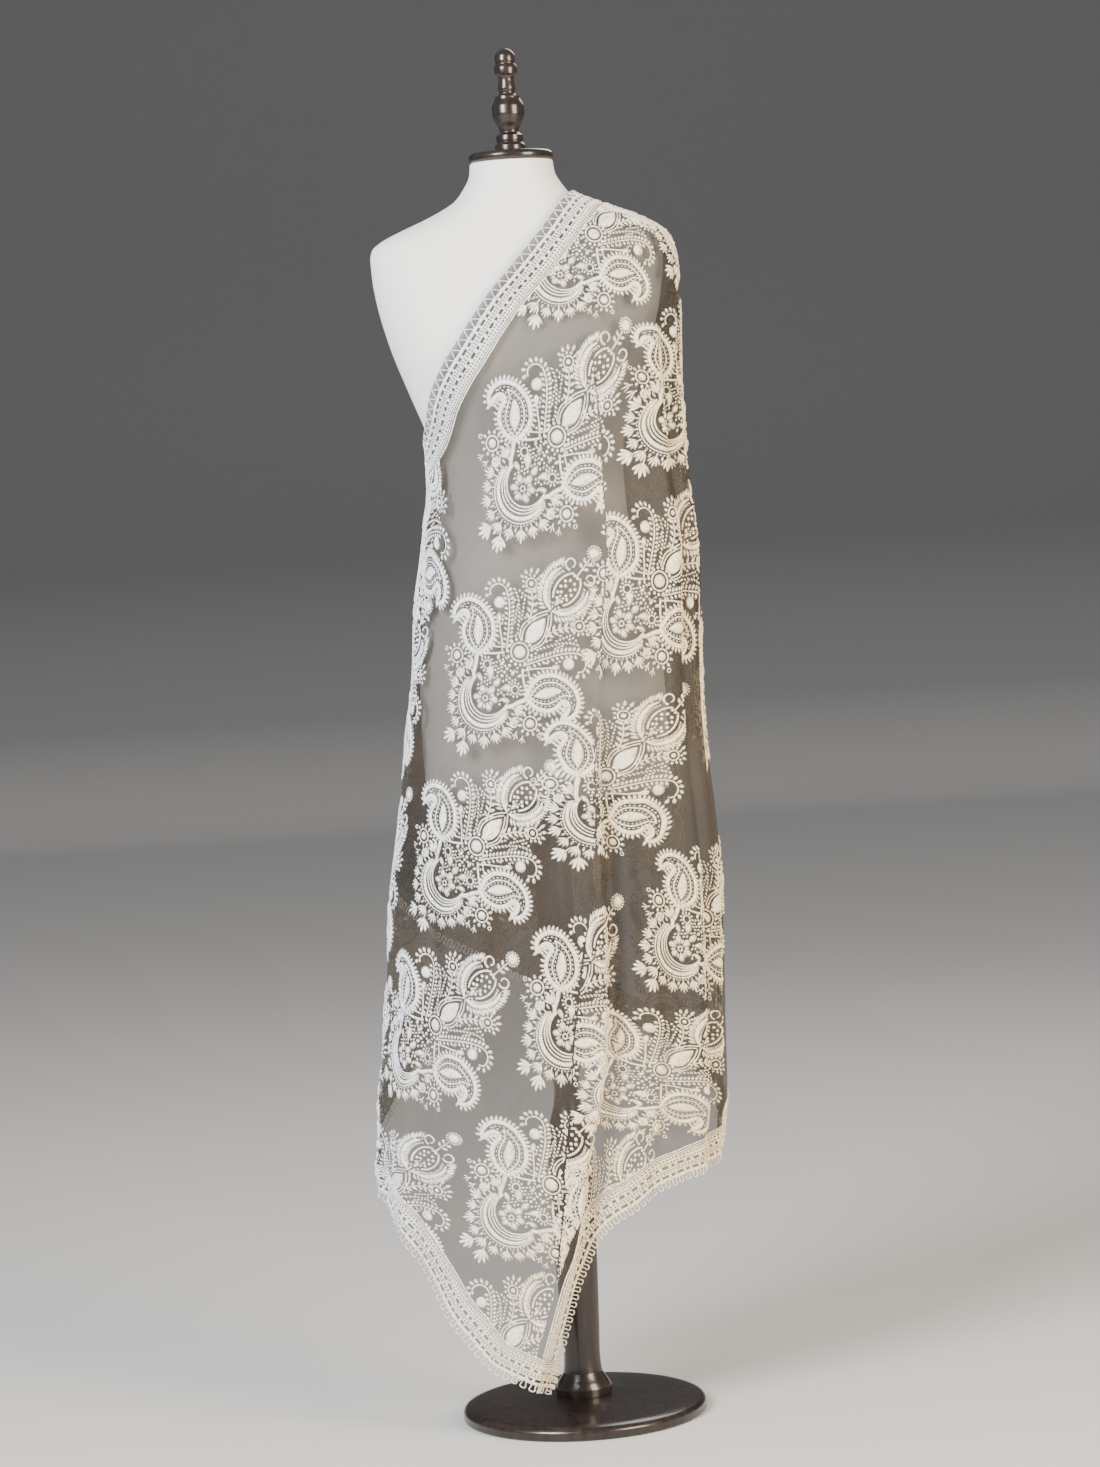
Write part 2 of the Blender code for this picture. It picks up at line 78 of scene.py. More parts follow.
EdgeRow = namedtuple("EdgeRow", "z x")
NECK_EDGE_FRONT = [EdgeRow(*row) for row in (
    (1190, -128), (1204, -126), (1231, -120), (1254, -115), (1285, -101), (1321, -76),
    (1369, -41), (1408, -6), (1452, 33), (1476, 51), (1496, 68))]
NECK_EDGE_BACK = [EdgeRow(*row) for row in (
    (1130, -124), (1150, -119), (1200, -104), (1260, -84), (1320, -56), (1380, -20),
    (1430, 16), (1470, 48), (1496, 68))]
HemRow = namedtuple("HemRow", "x z")
END_EDGE = [HemRow(*row) for row in (
    (-233, 292), (-225, 274), (-201, 229), (-178, 187), (-162, 151), (-143, 121),
    (-116, 84), (-84, 65), (-63, 54), (-40, 45))]
SIDE_EDGE = [HemRow(*row) for row in (
    (-40, 45), (-31, 60), (-20, 95), (-11, 122), (1, 158), (9, 181), (20, 205),
    (31, 230), (52, 253), (76, 267), (105, 284), (133, 293), (170, 304), (184, 317))]
TurnRow = namedtuple("TurnRow", "phi z")
NECK_EDGE_WRAP = [TurnRow(*row) for row in (
    (-129, 792), (-100, 890), (-75, 985), (-45, 1085), (-20, 1155), (0, 1204))]
END_EDGE_WRAP = [TurnRow(*row) for row in (
    (-129, 752), (-100, 655), (-75, 552), (-45, 432), (-20, 340), (0, 292))]
SIDE_EDGE_BACK = [TurnRow(*row) for row in (
    (180, 317), (200, 362), (225, 420), (250, 462), (270, 496), (300, 556), (325, 608),
    (340, 640))]

Fold = namedtuple("Fold", "name starts full width depth skew hollow lean "
                  "at1300 at1000 at0750 at0500 at0250 at0050")
FOLDS = [Fold(*row) for row in (
    ("front_main", 1190, 620, 9, 15, .62, .85, 9, 110, 105, 102, 103, 94, 77),
    ("front_beside_main", 900, 420, 7, 6, .2, .3, 2, 128, 124, 121, 122, 116, 108),
    ("front_waist", 1150, 560, 9, 5, .1, .4, 0, 66, 66, 64, 62, 58, 52),
    ("front_left", 930, 380, 7, 6, .2, .4, 0, 42, 42, 40, 38, 34, 30),
    ("pinch_upper", 520, 330, 5, 6, .3, .6, 0, 20, 20, 18, 15, 11, 8),
    ("pinch_lower", 420, 300, 4, 5, .3, .6, 0, 9, 9, 8, 6, 3, 2),
    ("shoulder_inner", 1400, 1240, 6, 6, .3, .5, 2, 139, 141, 143, 145, 146, 146),
    ("shoulder_outer", 1390, 1180, 6, 7, .2, .6, 2, 156, 157, 160, 160, 160, 160),
    ("side_cascade", 1330, 700, 8, 7, .2, .7, 0, 186, 188, 188, 187, 186, 186),
    ("back_first", 1360, 700, 8, 12, .3, .8, 5, 205, 206, 205, 204, 203, 203),
    ("back_second", 1380, 640, 8, 15, .3, .9, 6, 228, 226, 225, 224, 223, 223),
    ("back_third", 1330, 620, 8, 16, .3, .9, 6, 249, 247, 246, 246, 245, 245),
    ("back_fourth", 1250, 600, 7, 13, .3, .9, 5, 270, 268, 267, 266, 266, 266),
    ("back_fifth", 1160, 640, 7, 11, .2, .8, 4, 292, 290, 289, 288, 288, 288),
    ("back_sixth", 1060, 660, 8, 8, .2, .7, 3, 314, 312, 311, 310, 310, 310),
    ("left_side", 980, 600, 8, 5, .1, .5, 0, 338, 336, 336, 338, 340, 340))]
FOLD_HEIGHTS = (1300, 1000, 750, 500, 250, 50)

# Small creases: a soft ridge (or trough, where depth is negative) between two
# places on the cloth, each with its own width and depth.
Crease = namedtuple("Crease", "phi_a z_a phi_b z_b width depth")
CREASES = [Crease(*row) for row in (
    # pull lines from the shoulder down across the chest
    (158, 1446, 96, 1290, 11, -1.6), (165, 1430, 118, 1230, 9, 1.8),
    (150, 1420, 84, 1235, 12, 1.3), (128, 1400, 60, 1225, 10, -1.2),
    (112, 1310, 58, 1180, 9, 1.4), (172, 1405, 150, 1190, 10, -2.2),
    # along the left waist
    (12, 1160, 60, 1110, 9, -1.6), (6, 1120, 52, 1040, 10, 1.8),
    (8, 1060, 46, 930, 11, -1.5), (4, 990, 30, 860, 9, 1.6),
    # front, hanging
    (74, 1050, 80, 700, 9, 1.8), (86, 900, 88, 470, 8, -2.0), (54, 860, 50, 480, 10, 1.7),
    (28, 800, 24, 430, 9, -1.8), (72, 620, 66, 240, 8, 2.0), (46, 560, 40, 250, 9, -1.6),
    (116, 1080, 116, 760, 8, -1.8), (136, 1010, 137, 560, 10, 1.9),
    (150, 960, 152, 420, 9, -2.1), (168, 1180, 169, 620, 9, 1.9),
    (128, 560, 140, 340, 8, 2.2), (112, 430, 124, 300, 6, -2.0),
    # slack cowl over the right hem
    (118, 372, 156, 336, 8, -3.0), (124, 398, 168, 380, 9, 2.6), (122, 350, 150, 318, 6, 2.0),
    # gathers that run out of the pinch at the left
    (-6, 300, 40, 372, 6, 3.2), (-4, 312, 30, 432, 6, -3.4), (-6, 330, 16, 520, 6, 3.6),
    (0, 318, 22, 560, 5, -3.0), (0, 292, 46, 318, 5, -2.4), (2, 300, 50, 250, 6, 2.2),
    (-20, 380, 0, 560, 8, 2.4),
    # right side and back
    (178, 1300, 176, 820, 9, 2.0), (196, 1380, 194, 900, 9, -2.2), (215, 1330, 214, 760, 9, 2.2),
    (238, 1330, 236, 700, 9, -2.0), (259, 1260, 256, 640, 8, 2.2), (281, 1180, 277, 640, 9, -2.0),
    (303, 1090, 299, 700, 9, 1.8), (222, 1420, 262, 1230, 10, 1.6), (240, 1420, 290, 1200, 11, -1.5),
    # wrapped end
    (-24, 1120, -34, 460, 9, 2.0), (-50, 1040, -58, 560, 9, -2.2), (-70, 960, -76, 620, 9, 2.0),
    (-92, 880, -96, 700, 8, -1.8), (-12, 1150, -50, 900, 10, 1.8), (-30, 1100, -90, 860, 10, -1.6))]


def curve(knots, values):
    x = np.array(knots, float)
    y = np.array(values, float)
    order = np.argsort(x)
    x, y = x[order], y[order]
    h = np.diff(x)
    d = np.diff(y) / h
    m = np.empty_like(y)
    m[0], m[-1] = d[0], d[-1]
    same = d[:-1] * d[1:] > 0
    total = np.where(same, d[:-1] + d[1:], 1.0)
    m[1:-1] = np.where(same, 2 * d[:-1] * d[1:] / total, 0.0)

    def at(value):
        v = np.clip(np.asarray(value, float), x[0], x[-1])
        i = np.clip(np.searchsorted(x, v, side="right") - 1, 0, len(h) - 1)
        t = (v - x[i]) / h[i]
        return (y[i] * (1 + 2 * t) * (1 - t) ** 2 + m[i] * h[i] * t * (1 - t) ** 2
                + y[i + 1] * t * t * (3 - 2 * t) + m[i + 1] * h[i] * t * t * (t - 1))
    return at


def column(rows, key, value):
    return curve([getattr(r, key) for r in rows], [getattr(r, value) for r in rows])


def ease(t):
    t = np.clip(t, 0.0, 1.0)
    return t * t * (3 - 2 * t)


def squareness(z):
    return 2.0 + 0.3 * ease((1500 - np.asarray(z, float)) / 50)


# Everything that depends on height alone is worked out once, each millimetre.
Z_TABLE = np.arange(0, 1601, 1.0)
_zf = np.clip(Z_TABLE - 4, FORM_FOOT, FORM_TOP)
_columns = [column(CLOTH, "z", "left")(Z_TABLE), column(CLOTH, "z", "right")(Z_TABLE),
            column(CLOTH, "z", "front")(Z_TABLE), column(CLOTH, "z", "back")(Z_TABLE),
            squareness(Z_TABLE),
            column(FORM, "z", "half")(_zf) + BODY_GAP, column(FORM, "z", "front")(_zf) + BODY_GAP,
            column(FORM, "z", "back")(_zf) + BODY_GAP, squareness(_zf),
            ease((Z_TABLE - 690) / 70)]
FIRST_FOLD = len(_columns)
for _fold in FOLDS:
    _columns.append(curve(FOLD_HEIGHTS, _fold[-6:])(Z_TABLE))
    _columns.append(ease((_fold.starts - Z_TABLE) / (_fold.starts - _fold.full)))
TABLE = np.stack(_columns)


def by_height(z):
    v = np.clip(z, 0, 1599.0)
    i = v.astype(int)
    f = v - i
    return TABLE[:, i] * (1 - f) + TABLE[:, i + 1] * f


def oval(phi, n):
    c = np.cos(np.radians(phi))
    s = np.sin(np.radians(phi))
    rho = (np.abs(c) ** n + np.abs(s) ** n) ** (-1 / n)
    return -c * rho, -s * rho


def plain_section(phi, z):
    phi, z = np.broadcast_arrays(np.asarray(phi, float), np.asarray(z, float))
    left, right, front, back, n = by_height(z)[:5]
    x, y = oval(phi, n)
    return (left + right) / 2 + (right - left) / 2 * x, np.where(y <= 0, front, back) * y


def surface(phi, z, fine=True):
    """A point of the draped cloth in mm, with its small creases if fine."""
    phi, z = np.broadcast_arrays(np.asarray(phi, float), np.asarray(z, float))
    shape = phi.shape
    phi, z = phi.ravel(), z.ravel()
    t = by_height(z)
    left, right, front, back, n, half_f, front_f, back_f, n_f, near = t[:10]
    x, y = oval(phi, n)
    depth = np.where(y <= 0, front, back)
    x = (left + right) / 2 + (right - left) / 2 * x
    y = depth * y
    nx = (x - (left + right) / 2) / ((right - left) / 2) ** 2
    ny = y / depth ** 2
    size = np.hypot(nx, ny)
    nx, ny = nx / size, ny / size
    out = np.zeros_like(x)
    along = np.zeros_like(x)
    for k, fold in enumerate(FOLDS):
        turn = (phi - t[FIRST_FOLD + 2 * k] + 180) % 360 - 180
        u = turn / fold.width
        reach = np.where(u > 0, 1 - fold.skew, 1.0)
        crest = np.exp(-(u / reach) ** 2)
        dip = np.exp(-((u - 1.15 * (1 - 0.35 * fold.skew)) / 0.5) ** 2)
        grow = t[FIRST_FOLD + 2 * k + 1]
        out += grow * fold.depth * (crest - fold.hollow * dip)
        along += grow * fold.lean * crest
    if fine:
        for c in CREASES:
            ax, az = c.phi_a * 3.0, c.z_a
            bx, bz = c.phi_b * 3.0 - ax, c.z_b - az
            length = math.hypot(bx, bz)
            px, pz = phi * 3.0 - ax, z - az
            s = (px * bx + pz * bz) / length ** 2
            d = (px * bz - pz * bx) / length
            out += c.depth * np.exp(-(d / c.width) ** 2) * ease(s / 0.3) * ease((1 - s) / 0.3)
    x = x + nx * out - ny * along
    y = y + ny * out + nx * along
    deep = np.where(y <= 0, front_f, back_f)
    r = ((np.abs(x) / half_f) ** n_f + (np.abs(y) / deep) ** n_f) ** (1 / n_f)
    held = 0.5 * (r + 1 + np.sqrt((r - 1) ** 2 + 0.02 ** 2)) / r
    push = 1 + near * (held - 1)
    x, y = x * push, y * push
    lift = WRAP_LIFT * ease(-phi / 22)
    return np.stack((x + nx * lift, y + ny * lift, z), axis=-1).reshape(*shape, 3)


def slopes(phi, z, fine=True):
    a = (surface(phi + 0.15, z, fine) - surface(phi - 0.15, z, fine)) / 0.3
    b = surface(phi, z + 0.6, fine) - surface(phi, z - 0.6, fine)
    b /= 1.2
    n = np.cross(a, b)
    n /= np.linalg.norm(n, axis=-1, keepdims=True)
    return a, b, n


def unit(v):
    return v / np.maximum(np.linalg.norm(v, axis=-1, keepdims=True), 1e-12)


def walk(phi, z, d, step, count, fine=False):
    """Straight walks over the cloth: from each start along d, count steps, each
    with its own step length.
    Returns angles, heights and directions with a leading axis of count + 1."""
    phi, z, d = phi.copy(), z.copy(), d.copy()
    phis, zs, ds = [phi.copy()], [z.copy()], []
    for _ in range(count):
        a, b, n = slopes(phi, z, fine)
        d = unit(d - n * (d * n).sum(-1, keepdims=True))
        ds.append(d.copy())
        aa, ab, bb = (a * a).sum(-1), (a * b).sum(-1), (b * b).sum(-1)
        da, db = (a * d).sum(-1) * step, (b * d).sum(-1) * step
        det = np.maximum(aa * bb - ab * ab, 1e-9)
        phi = np.clip(phi + (da * bb - db * ab) / det, -175, 400)
        z = np.clip(z + (db * aa - da * ab) / det, 2, 1497)
        phis.append(phi.copy())
        zs.append(z.copy())
    ds.append(d.copy())
    return np.array(phis), np.array(zs), np.array(ds)


# ------------------------------------------------------------------ edges
def height_on_edge(phi, rows, low, high):
    x_of = column(rows, "z", "x")
    z = np.linspace(low, high, 900)
    gap = plain_section(phi, z)[0] - x_of(z)
    hits = np.nonzero(gap[:-1] * gap[1:] <= 0)[0]
    if len(hits) == 0:
        return high if abs(gap[-1]) < abs(gap[0]) else low
    i = hits[-1] if phi > 90 else hits[0]
    return z[i] + (z[i + 1] - z[i]) * gap[i] / (gap[i] - gap[i + 1])


def top_edge(phi):
    if phi < 0:
        return float(column(NECK_EDGE_WRAP, "phi", "z")(phi))
    if phi <= 180:
        return height_on_edge(phi, NECK_EDGE_FRONT, 1190, 1496)
    return height_on_edge(phi, NECK_EDGE_BACK, 1130, 1496)


def bottom_edge(phi):
    if phi < 0:
        return float(column(END_EDGE_WRAP, "phi", "z")(phi))
    if phi > 180:
        return float(column(SIDE_EDGE_BACK, "phi", "z")(phi))
    x = float(plain_section(phi, 200.0)[0])
    rows = END_EDGE if x < END_EDGE[-1].x else SIDE_EDGE
    return float(column(rows, "x", "z")(x))


def corner_angle():
    low, high = 60.0, 120.0
    for _ in range(40):
        mid = (low + high) / 2
        if plain_section(mid, 200.0)[0] < END_EDGE[-1].x:
            low = mid
        else:
            high = mid
    return (low + high) / 2


PHI_CORNER = corner_angle()
EDGE_PHI = np.unique(np.concatenate((np.linspace(PHI_WRAP_END, PHI_BACK_END, 940), [PHI_CORNER])))
TOP_Z = np.array([top_edge(p) for p in EDGE_PHI])
FOOT_Z = np.array([bottom_edge(p) for p in EDGE_PHI])
TOP_LINE = surface(EDGE_PHI, TOP_Z, False)
FOOT_LINE = surface(EDGE_PHI, FOOT_Z, False)


def inset_heights(phis, upper, reach, share):
    """Heights a given reach inside the edge, down (or up) each column."""
    edge, line = (TOP_Z, TOP_LINE) if upper else (FOOT_Z, FOOT_LINE)
    heights = []
    for phi in phis:
        start = float(np.interp(phi, EDGE_PHI, edge))
        other = float(np.interp(phi, EDGE_PHI, FOOT_Z if upper else TOP_Z))
        near = np.abs(EDGE_PHI - phi) < 60
        steps = np.linspace(0, 1, 60) ** 1.5 * min(230.0, abs(other - start))
        here = surface(phi, start + (-steps if upper else steps), False)
        away = np.linalg.norm(here[:, None] - line[near][None], axis=2).min(axis=1)
        away = np.maximum.accumulate(away)
        depth = min(float(np.interp(reach, away, steps)), share * abs(other - start))
        heights.append(start - depth if upper else start + depth)
    return np.array(heights)


def resample(phis, zs, spacing):
    """The same edge at even spacing along its length."""
    fine_phi = np.linspace(phis[0], phis[-1], 6000)
    fine_z = np.interp(fine_phi, phis, zs)
    points = surface(fine_phi, fine_z)
    run = np.concatenate(([0], np.cumsum(np.linalg.norm(np.diff(points, axis=0), axis=1))))
    count = int(run[-1] / spacing) + 1
    s = np.linspace(0, run[-1], count)
    return np.interp(s, run, fine_phi), np.interp(s, run, fine_z), run[-1]


# ====================================================================
# Embroidery kit: closed little solids in flat coordinates (mm)
# ====================================================================
class Stitches:
    """Collects closed stitches as points (a, b, height) and triangles."""

    def __init__(self):
        self.points, self.tris, self.count = [], [], 0

    def add(self, points, tris):
        self.points.append(np.asarray(points, float))
        self.tris.append(np.asarray(tris, int) + self.count)
        self.count += len(points)

    def arrays(self):
        return np.concatenate(self.points), np.concatenate(self.tris)


def smooth_path(points, count):
    """Even points on a smooth curve through a few."""
    p = np.array(points, float)
    ext = np.concatenate(([2 * p[0] - p[1]], p, [2 * p[-1] - p[-2]]))
    out = []
    for i in range(len(p) - 1):
        a, b, c, d = ext[i:i + 4]
        t = np.linspace(0, 1, 17)[:-1, None]
        out.append(0.5 * (2 * b + (c - a) * t + (2 * a - 5 * b + 4 * c - d) * t ** 2
                          + (3 * b - a - 3 * c + d) * t ** 3))
    out = np.concatenate(out + [p[-1:]])
    run = np.concatenate(([0], np.cumsum(np.linalg.norm(np.diff(out, axis=0), axis=1))))
    s = np.linspace(0, run[-1], count)
    return np.stack((np.interp(s, run, out[:, 0]), np.interp(s, run, out[:, 1])), axis=1)


def path_length(p):
    return float(np.linalg.norm(np.diff(p, axis=0), axis=1).sum())


def sides_of(p, closed):
    if closed:
        t = np.roll(p, -1, 0) - np.roll(p, 1, 0)
    else:
        t = np.gradient(p, axis=0)
    t = unit(t)
    return t, np.stack((-t[:, 1], t[:, 0]), axis=1)


def cord(kit, p, width, height=0.9, closed=False, flat=0.0, rib=0.0, base=0.15):
    """A raised line of thread. flat is the share of its width that is level on
    top, rib how far every second cross stitch stands up."""
    p = np.asarray(p, float)
    count = len(p)
    t, n = sides_of(p, closed)
    w = np.broadcast_to(np.asarray(width, float), (count,)) / 2
    h = base + height * np.ones(count)
    if rib:
        h = h + rib * (np.arange(count) % 2 * 2 - 1)
    left = np.column_stack((p + n * w[:, None], np.full(count, base)))
    right = np.column_stack((p - n * w[:, None], np.full(count, base)))
    if flat:
        rows = [left, np.column_stack((p + n * (w * flat)[:, None], h)),
                np.column_stack((p - n * (w * flat)[:, None], h)), right]
    else:
        rows = [left, np.column_stack((p, h)), right]
    k = len(rows)
    points = np.stack(rows, axis=1).reshape(-1, 3)
    i = np.arange(count if closed else count - 1)
    j = (i + 1) % count
    tris = []
    for r in range(k):
        q = (r + 1) % k
        a, b, c, d = i * k + r, j * k + r, j * k + q, i * k + q
        tris += [np.stack((a, d, c), 1), np.stack((a, c, b), 1)]
    if not closed:
        for r in range(1, k - 1):
            tris.append([[0, r, r + 1]])
            last = (count - 1) * k
            tris.append([[last, last + r + 1, last + r]])
    kit.add(points, np.concatenate(tris))


LENS = np.array([(0, 0), (.16, .30), (.42, .5), (.72, .38), (1, 0), (.72, -.38), (.42, -.5),
                 (.16, -.30)])


PETAL = np.array([(0, 0), (.18, .24), (.5, .48), (.84, .38), (1, 0), (.84, -.38), (.5, -.48),
                  (.18, -.24)])


def leaf(kit, at, angle, length, width, height=1.0, base=0.12, round_tip=False):
    """A satin stitched leaf from its foot at a point, along an angle in degrees."""
    a = math.radians(angle)
    c, s = math.cos(a), math.sin(a)
    shape = PETAL if round_tip else LENS
    u, v = shape[:, 0] * length, shape[:, 1] * width
    x = at[0] + u * c - v * s
    y = at[1] + u * s + v * c
    mid = 0.52 if round_tip else 0.45
    top = (at[0] + mid * length * c, at[1] + mid * length * s, base + height)
    points = np.vstack((np.column_stack((x, y, np.full(8, base))), [top]))
    ring = np.arange(8)
    tris = [(i, 8, (i + 1) % 8) for i in ring]
    tris += [(0, i, i + 1) for i in range(1, 7)]
    flip = [(c_, b_, a_) for a_, b_, c_ in tris[:8]]
    kit.add(points, flip + [(a_, c_, b_) for a_, b_, c_ in tris[8:]])


def knot(kit, at, radius, height=1.0, sides=7, base=0.12):
    """A round knot or bead of thread."""
    k = np.arange(sides) * 2 * math.pi / sides
    low = np.column_stack((at[0] + radius * np.cos(k), at[1] + radius * np.sin(k), np.full(sides, base)))
    mid = np.column_stack((at[0] + radius * .62 * np.cos(k), at[1] + radius * .62 * np.sin(k),
                           np.full(sides, base + height * .8)))
    points = np.vstack((low, mid, [(at[0], at[1], base + height)]))
    tris = []
    for i in range(sides):
        j = (i + 1) % sides
        tris += [(i, j, sides + j), (i, sides + j, sides + i), (sides + i, sides + j, 2 * sides)]
    tris += [(0, i + 1, i) for i in range(1, sides - 1)]
    kit.add(points, tris)


def circle(at, radius, count, start=0.0, end=360.0):
    k = np.radians(np.linspace(start, end, count + (0 if end - start >= 360 else 1), endpoint=end - start < 360))
    return np.column_stack((at[0] + radius * np.cos(k), at[1] + radius * np.sin(k)))


def rosette(kit, at, core, ring, petals, length, width, turn=0.0):
    """A small flower: a round core, a ring round it, and petals outside."""
    if core:
        knot(kit, at, core, 1.2, 8)
    if ring:
        cord(kit, circle(at, ring, 16), 2.4, 0.9, closed=True)
    inner = (ring or core) + 1.2
    for k in range(petals):
        a = turn + 360 * k / petals
        r = math.radians(a)
        leaf(kit, (at[0] + inner * math.cos(r), at[1] + inner * math.sin(r)), a, length, width)


def palm(kit, at, angle, size, lobes=5, spread=30):
    """A fan of leaves on a short stalk."""
    r = math.radians(angle)
    d = np.array((math.cos(r), math.sin(r)))
    root = np.array(at, float)
    cord(kit, np.array([root, root + d * size * .2, root + d * size * .4]), 2.0, 0.7)
    foot = root + d * size * .22
    leaf(kit, foot, angle, size * .34, size * .24, 1.1, round_tip=True)
    for k in range(lobes):
        m = k - (lobes - 1) / 2
        leaf(kit, foot, angle + m * spread, size * (.82 - .09 * abs(m)), size * .17, round_tip=True)


def teeth(kit, loop, spacing, length, width, slant=0.0, outward=1.0, skip=None):
    """Pointed stitches that stand out from a closed line."""
    total = path_length(np.vstack((loop, loop[:1])))
    count = max(3, int(total / spacing))
    p = np.vstack((loop, loop[:1]))
    run = np.concatenate(([0], np.cumsum(np.linalg.norm(np.diff(p, axis=0), axis=1))))
    for k in range(count):
        s = total * k / count
        i = min(np.searchsorted(run, s, side="right") - 1, len(loop) - 1)
        f = (s - run[i]) / max(run[i + 1] - run[i], 1e-9)
        at = p[i] * (1 - f) + p[i + 1] * f
        t = unit(p[i + 1] - p[i])
        a = math.degrees(math.atan2(-t[0] * outward, t[1] * outward)) + slant
        if skip is None or not skip(at):
            leaf(kit, at, a, length, width)


def dashes(kit, p, spacing, length, width, closed=False, across=False):
    """Short stitches along (or across) a line."""
    q = np.vstack((p, p[:1])) if closed else p
    run = np.concatenate(([0], np.cumsum(np.linalg.norm(np.diff(q, axis=0), axis=1))))
    count = max(2, int(run[-1] / spacing))
    for k in range(count):
        s = run[-1] * (k + .5) / count
        i = min(np.searchsorted(run, s, side="right") - 1, len(q) - 2)
        f = (s - run[i]) / max(run[i + 1] - run[i], 1e-9)
        at = q[i] * (1 - f) + q[i + 1] * f
        t = unit(q[i + 1] - q[i])
        a = math.degrees(math.atan2(t[1], t[0])) + (90 if across else 0)
        r = math.radians(a)
        leaf(kit, at - np.array((math.cos(r), math.sin(r))) * length / 2, a, length, width, 0.7)


class Boteh:
    """A paisley: a spine that hooks over at its tip, and half its width along it."""

    def __init__(self, spine, widths):
        self.p = smooth_path(spine, 220)
        self.w = curve([w[0] for w in widths], [w[1] for w in widths])(np.linspace(0, 1, 220))
        _, self.n = sides_of(self.p, False)

    def loop(self, inset, count):
        """The outline, moved in, as a closed line."""
        w = self.w - inset
        ok = np.nonzero(w > 0)[0]
        if len(ok) < 8:
            return None
        i = np.arange(ok[0], ok[-1] + 1)
        left = self.p[i] + self.n[i] * w[i, None]
        right = self.p[i] - self.n[i] * w[i, None]
        line = np.vstack((right, left[::-1]))
        q = np.vstack((line, line[:1]))
        run = np.concatenate(([0], np.cumsum(np.linalg.norm(np.diff(q, axis=0), axis=1))))
        s = np.linspace(0, run[-1], count, endpoint=False)
        return np.stack((np.interp(s, run, q[:, 0]), np.interp(s, run, q[:, 1])), axis=1)


def mirror(kit, start):
    """Copies what was added since start to the other side of the axis."""
    points = kit.points[start[0]:]
    tris = kit.tris[start[0]:]
    base = start[1]
    new_p = np.concatenate(points) * (-1, 1, 1)
    new_t = np.concatenate(tris)[:, ::-1] - base
    kit.add(new_p, new_t)


def place_ring(at, radius, angle):
    r = math.radians(angle)
    return np.array((at[0] + radius * math.cos(r), at[1] + radius * math.sin(r)))


def seeds(kit, inside, pitch, length, width, clear):
    """Fills what is left open inside a region with small seed stitches."""
    points, tris = kit.arrays()
    cell = 0.5
    shift = np.array((-115.0, -40.0))
    taken = np.zeros((460, 700), bool)
    corner = points[tris][:, :, :2]
    for u in np.linspace(0.03, 0.94, 7):
        for v in np.linspace(0.03, 0.94, 7):
            if u + v <= 1:
                p = corner[:, 0] * (1 - u - v) + corner[:, 1] * u + corner[:, 2] * v
                i = np.clip(((p - shift) / cell).astype(int), 0, (459, 699))
                taken[i[:, 0], i[:, 1]] = True
    reach = int(clear / cell)
    for row, b in enumerate(np.arange(60, 260, pitch * .87)):
        for a in np.arange(-70 + (row % 2) * pitch / 2, 70, pitch):
            if not inside(abs(a), b):
                continue
            i, j = int((a - shift[0]) / cell), int((b - shift[1]) / cell)
            if taken[i - reach:i + reach + 1, j - reach:j + reach + 1].any():
                continue
            turn = math.degrees(math.atan2(b - 110, a)) + (row % 3 - 1) * 25
            d = place_ring((0, 0), length / 2, turn)
            leaf(kit, (a - d[0], b - d[1]), turn, length, width, .8)
            taken[i - reach:i + reach + 1, j - reach:j + reach + 1] = True


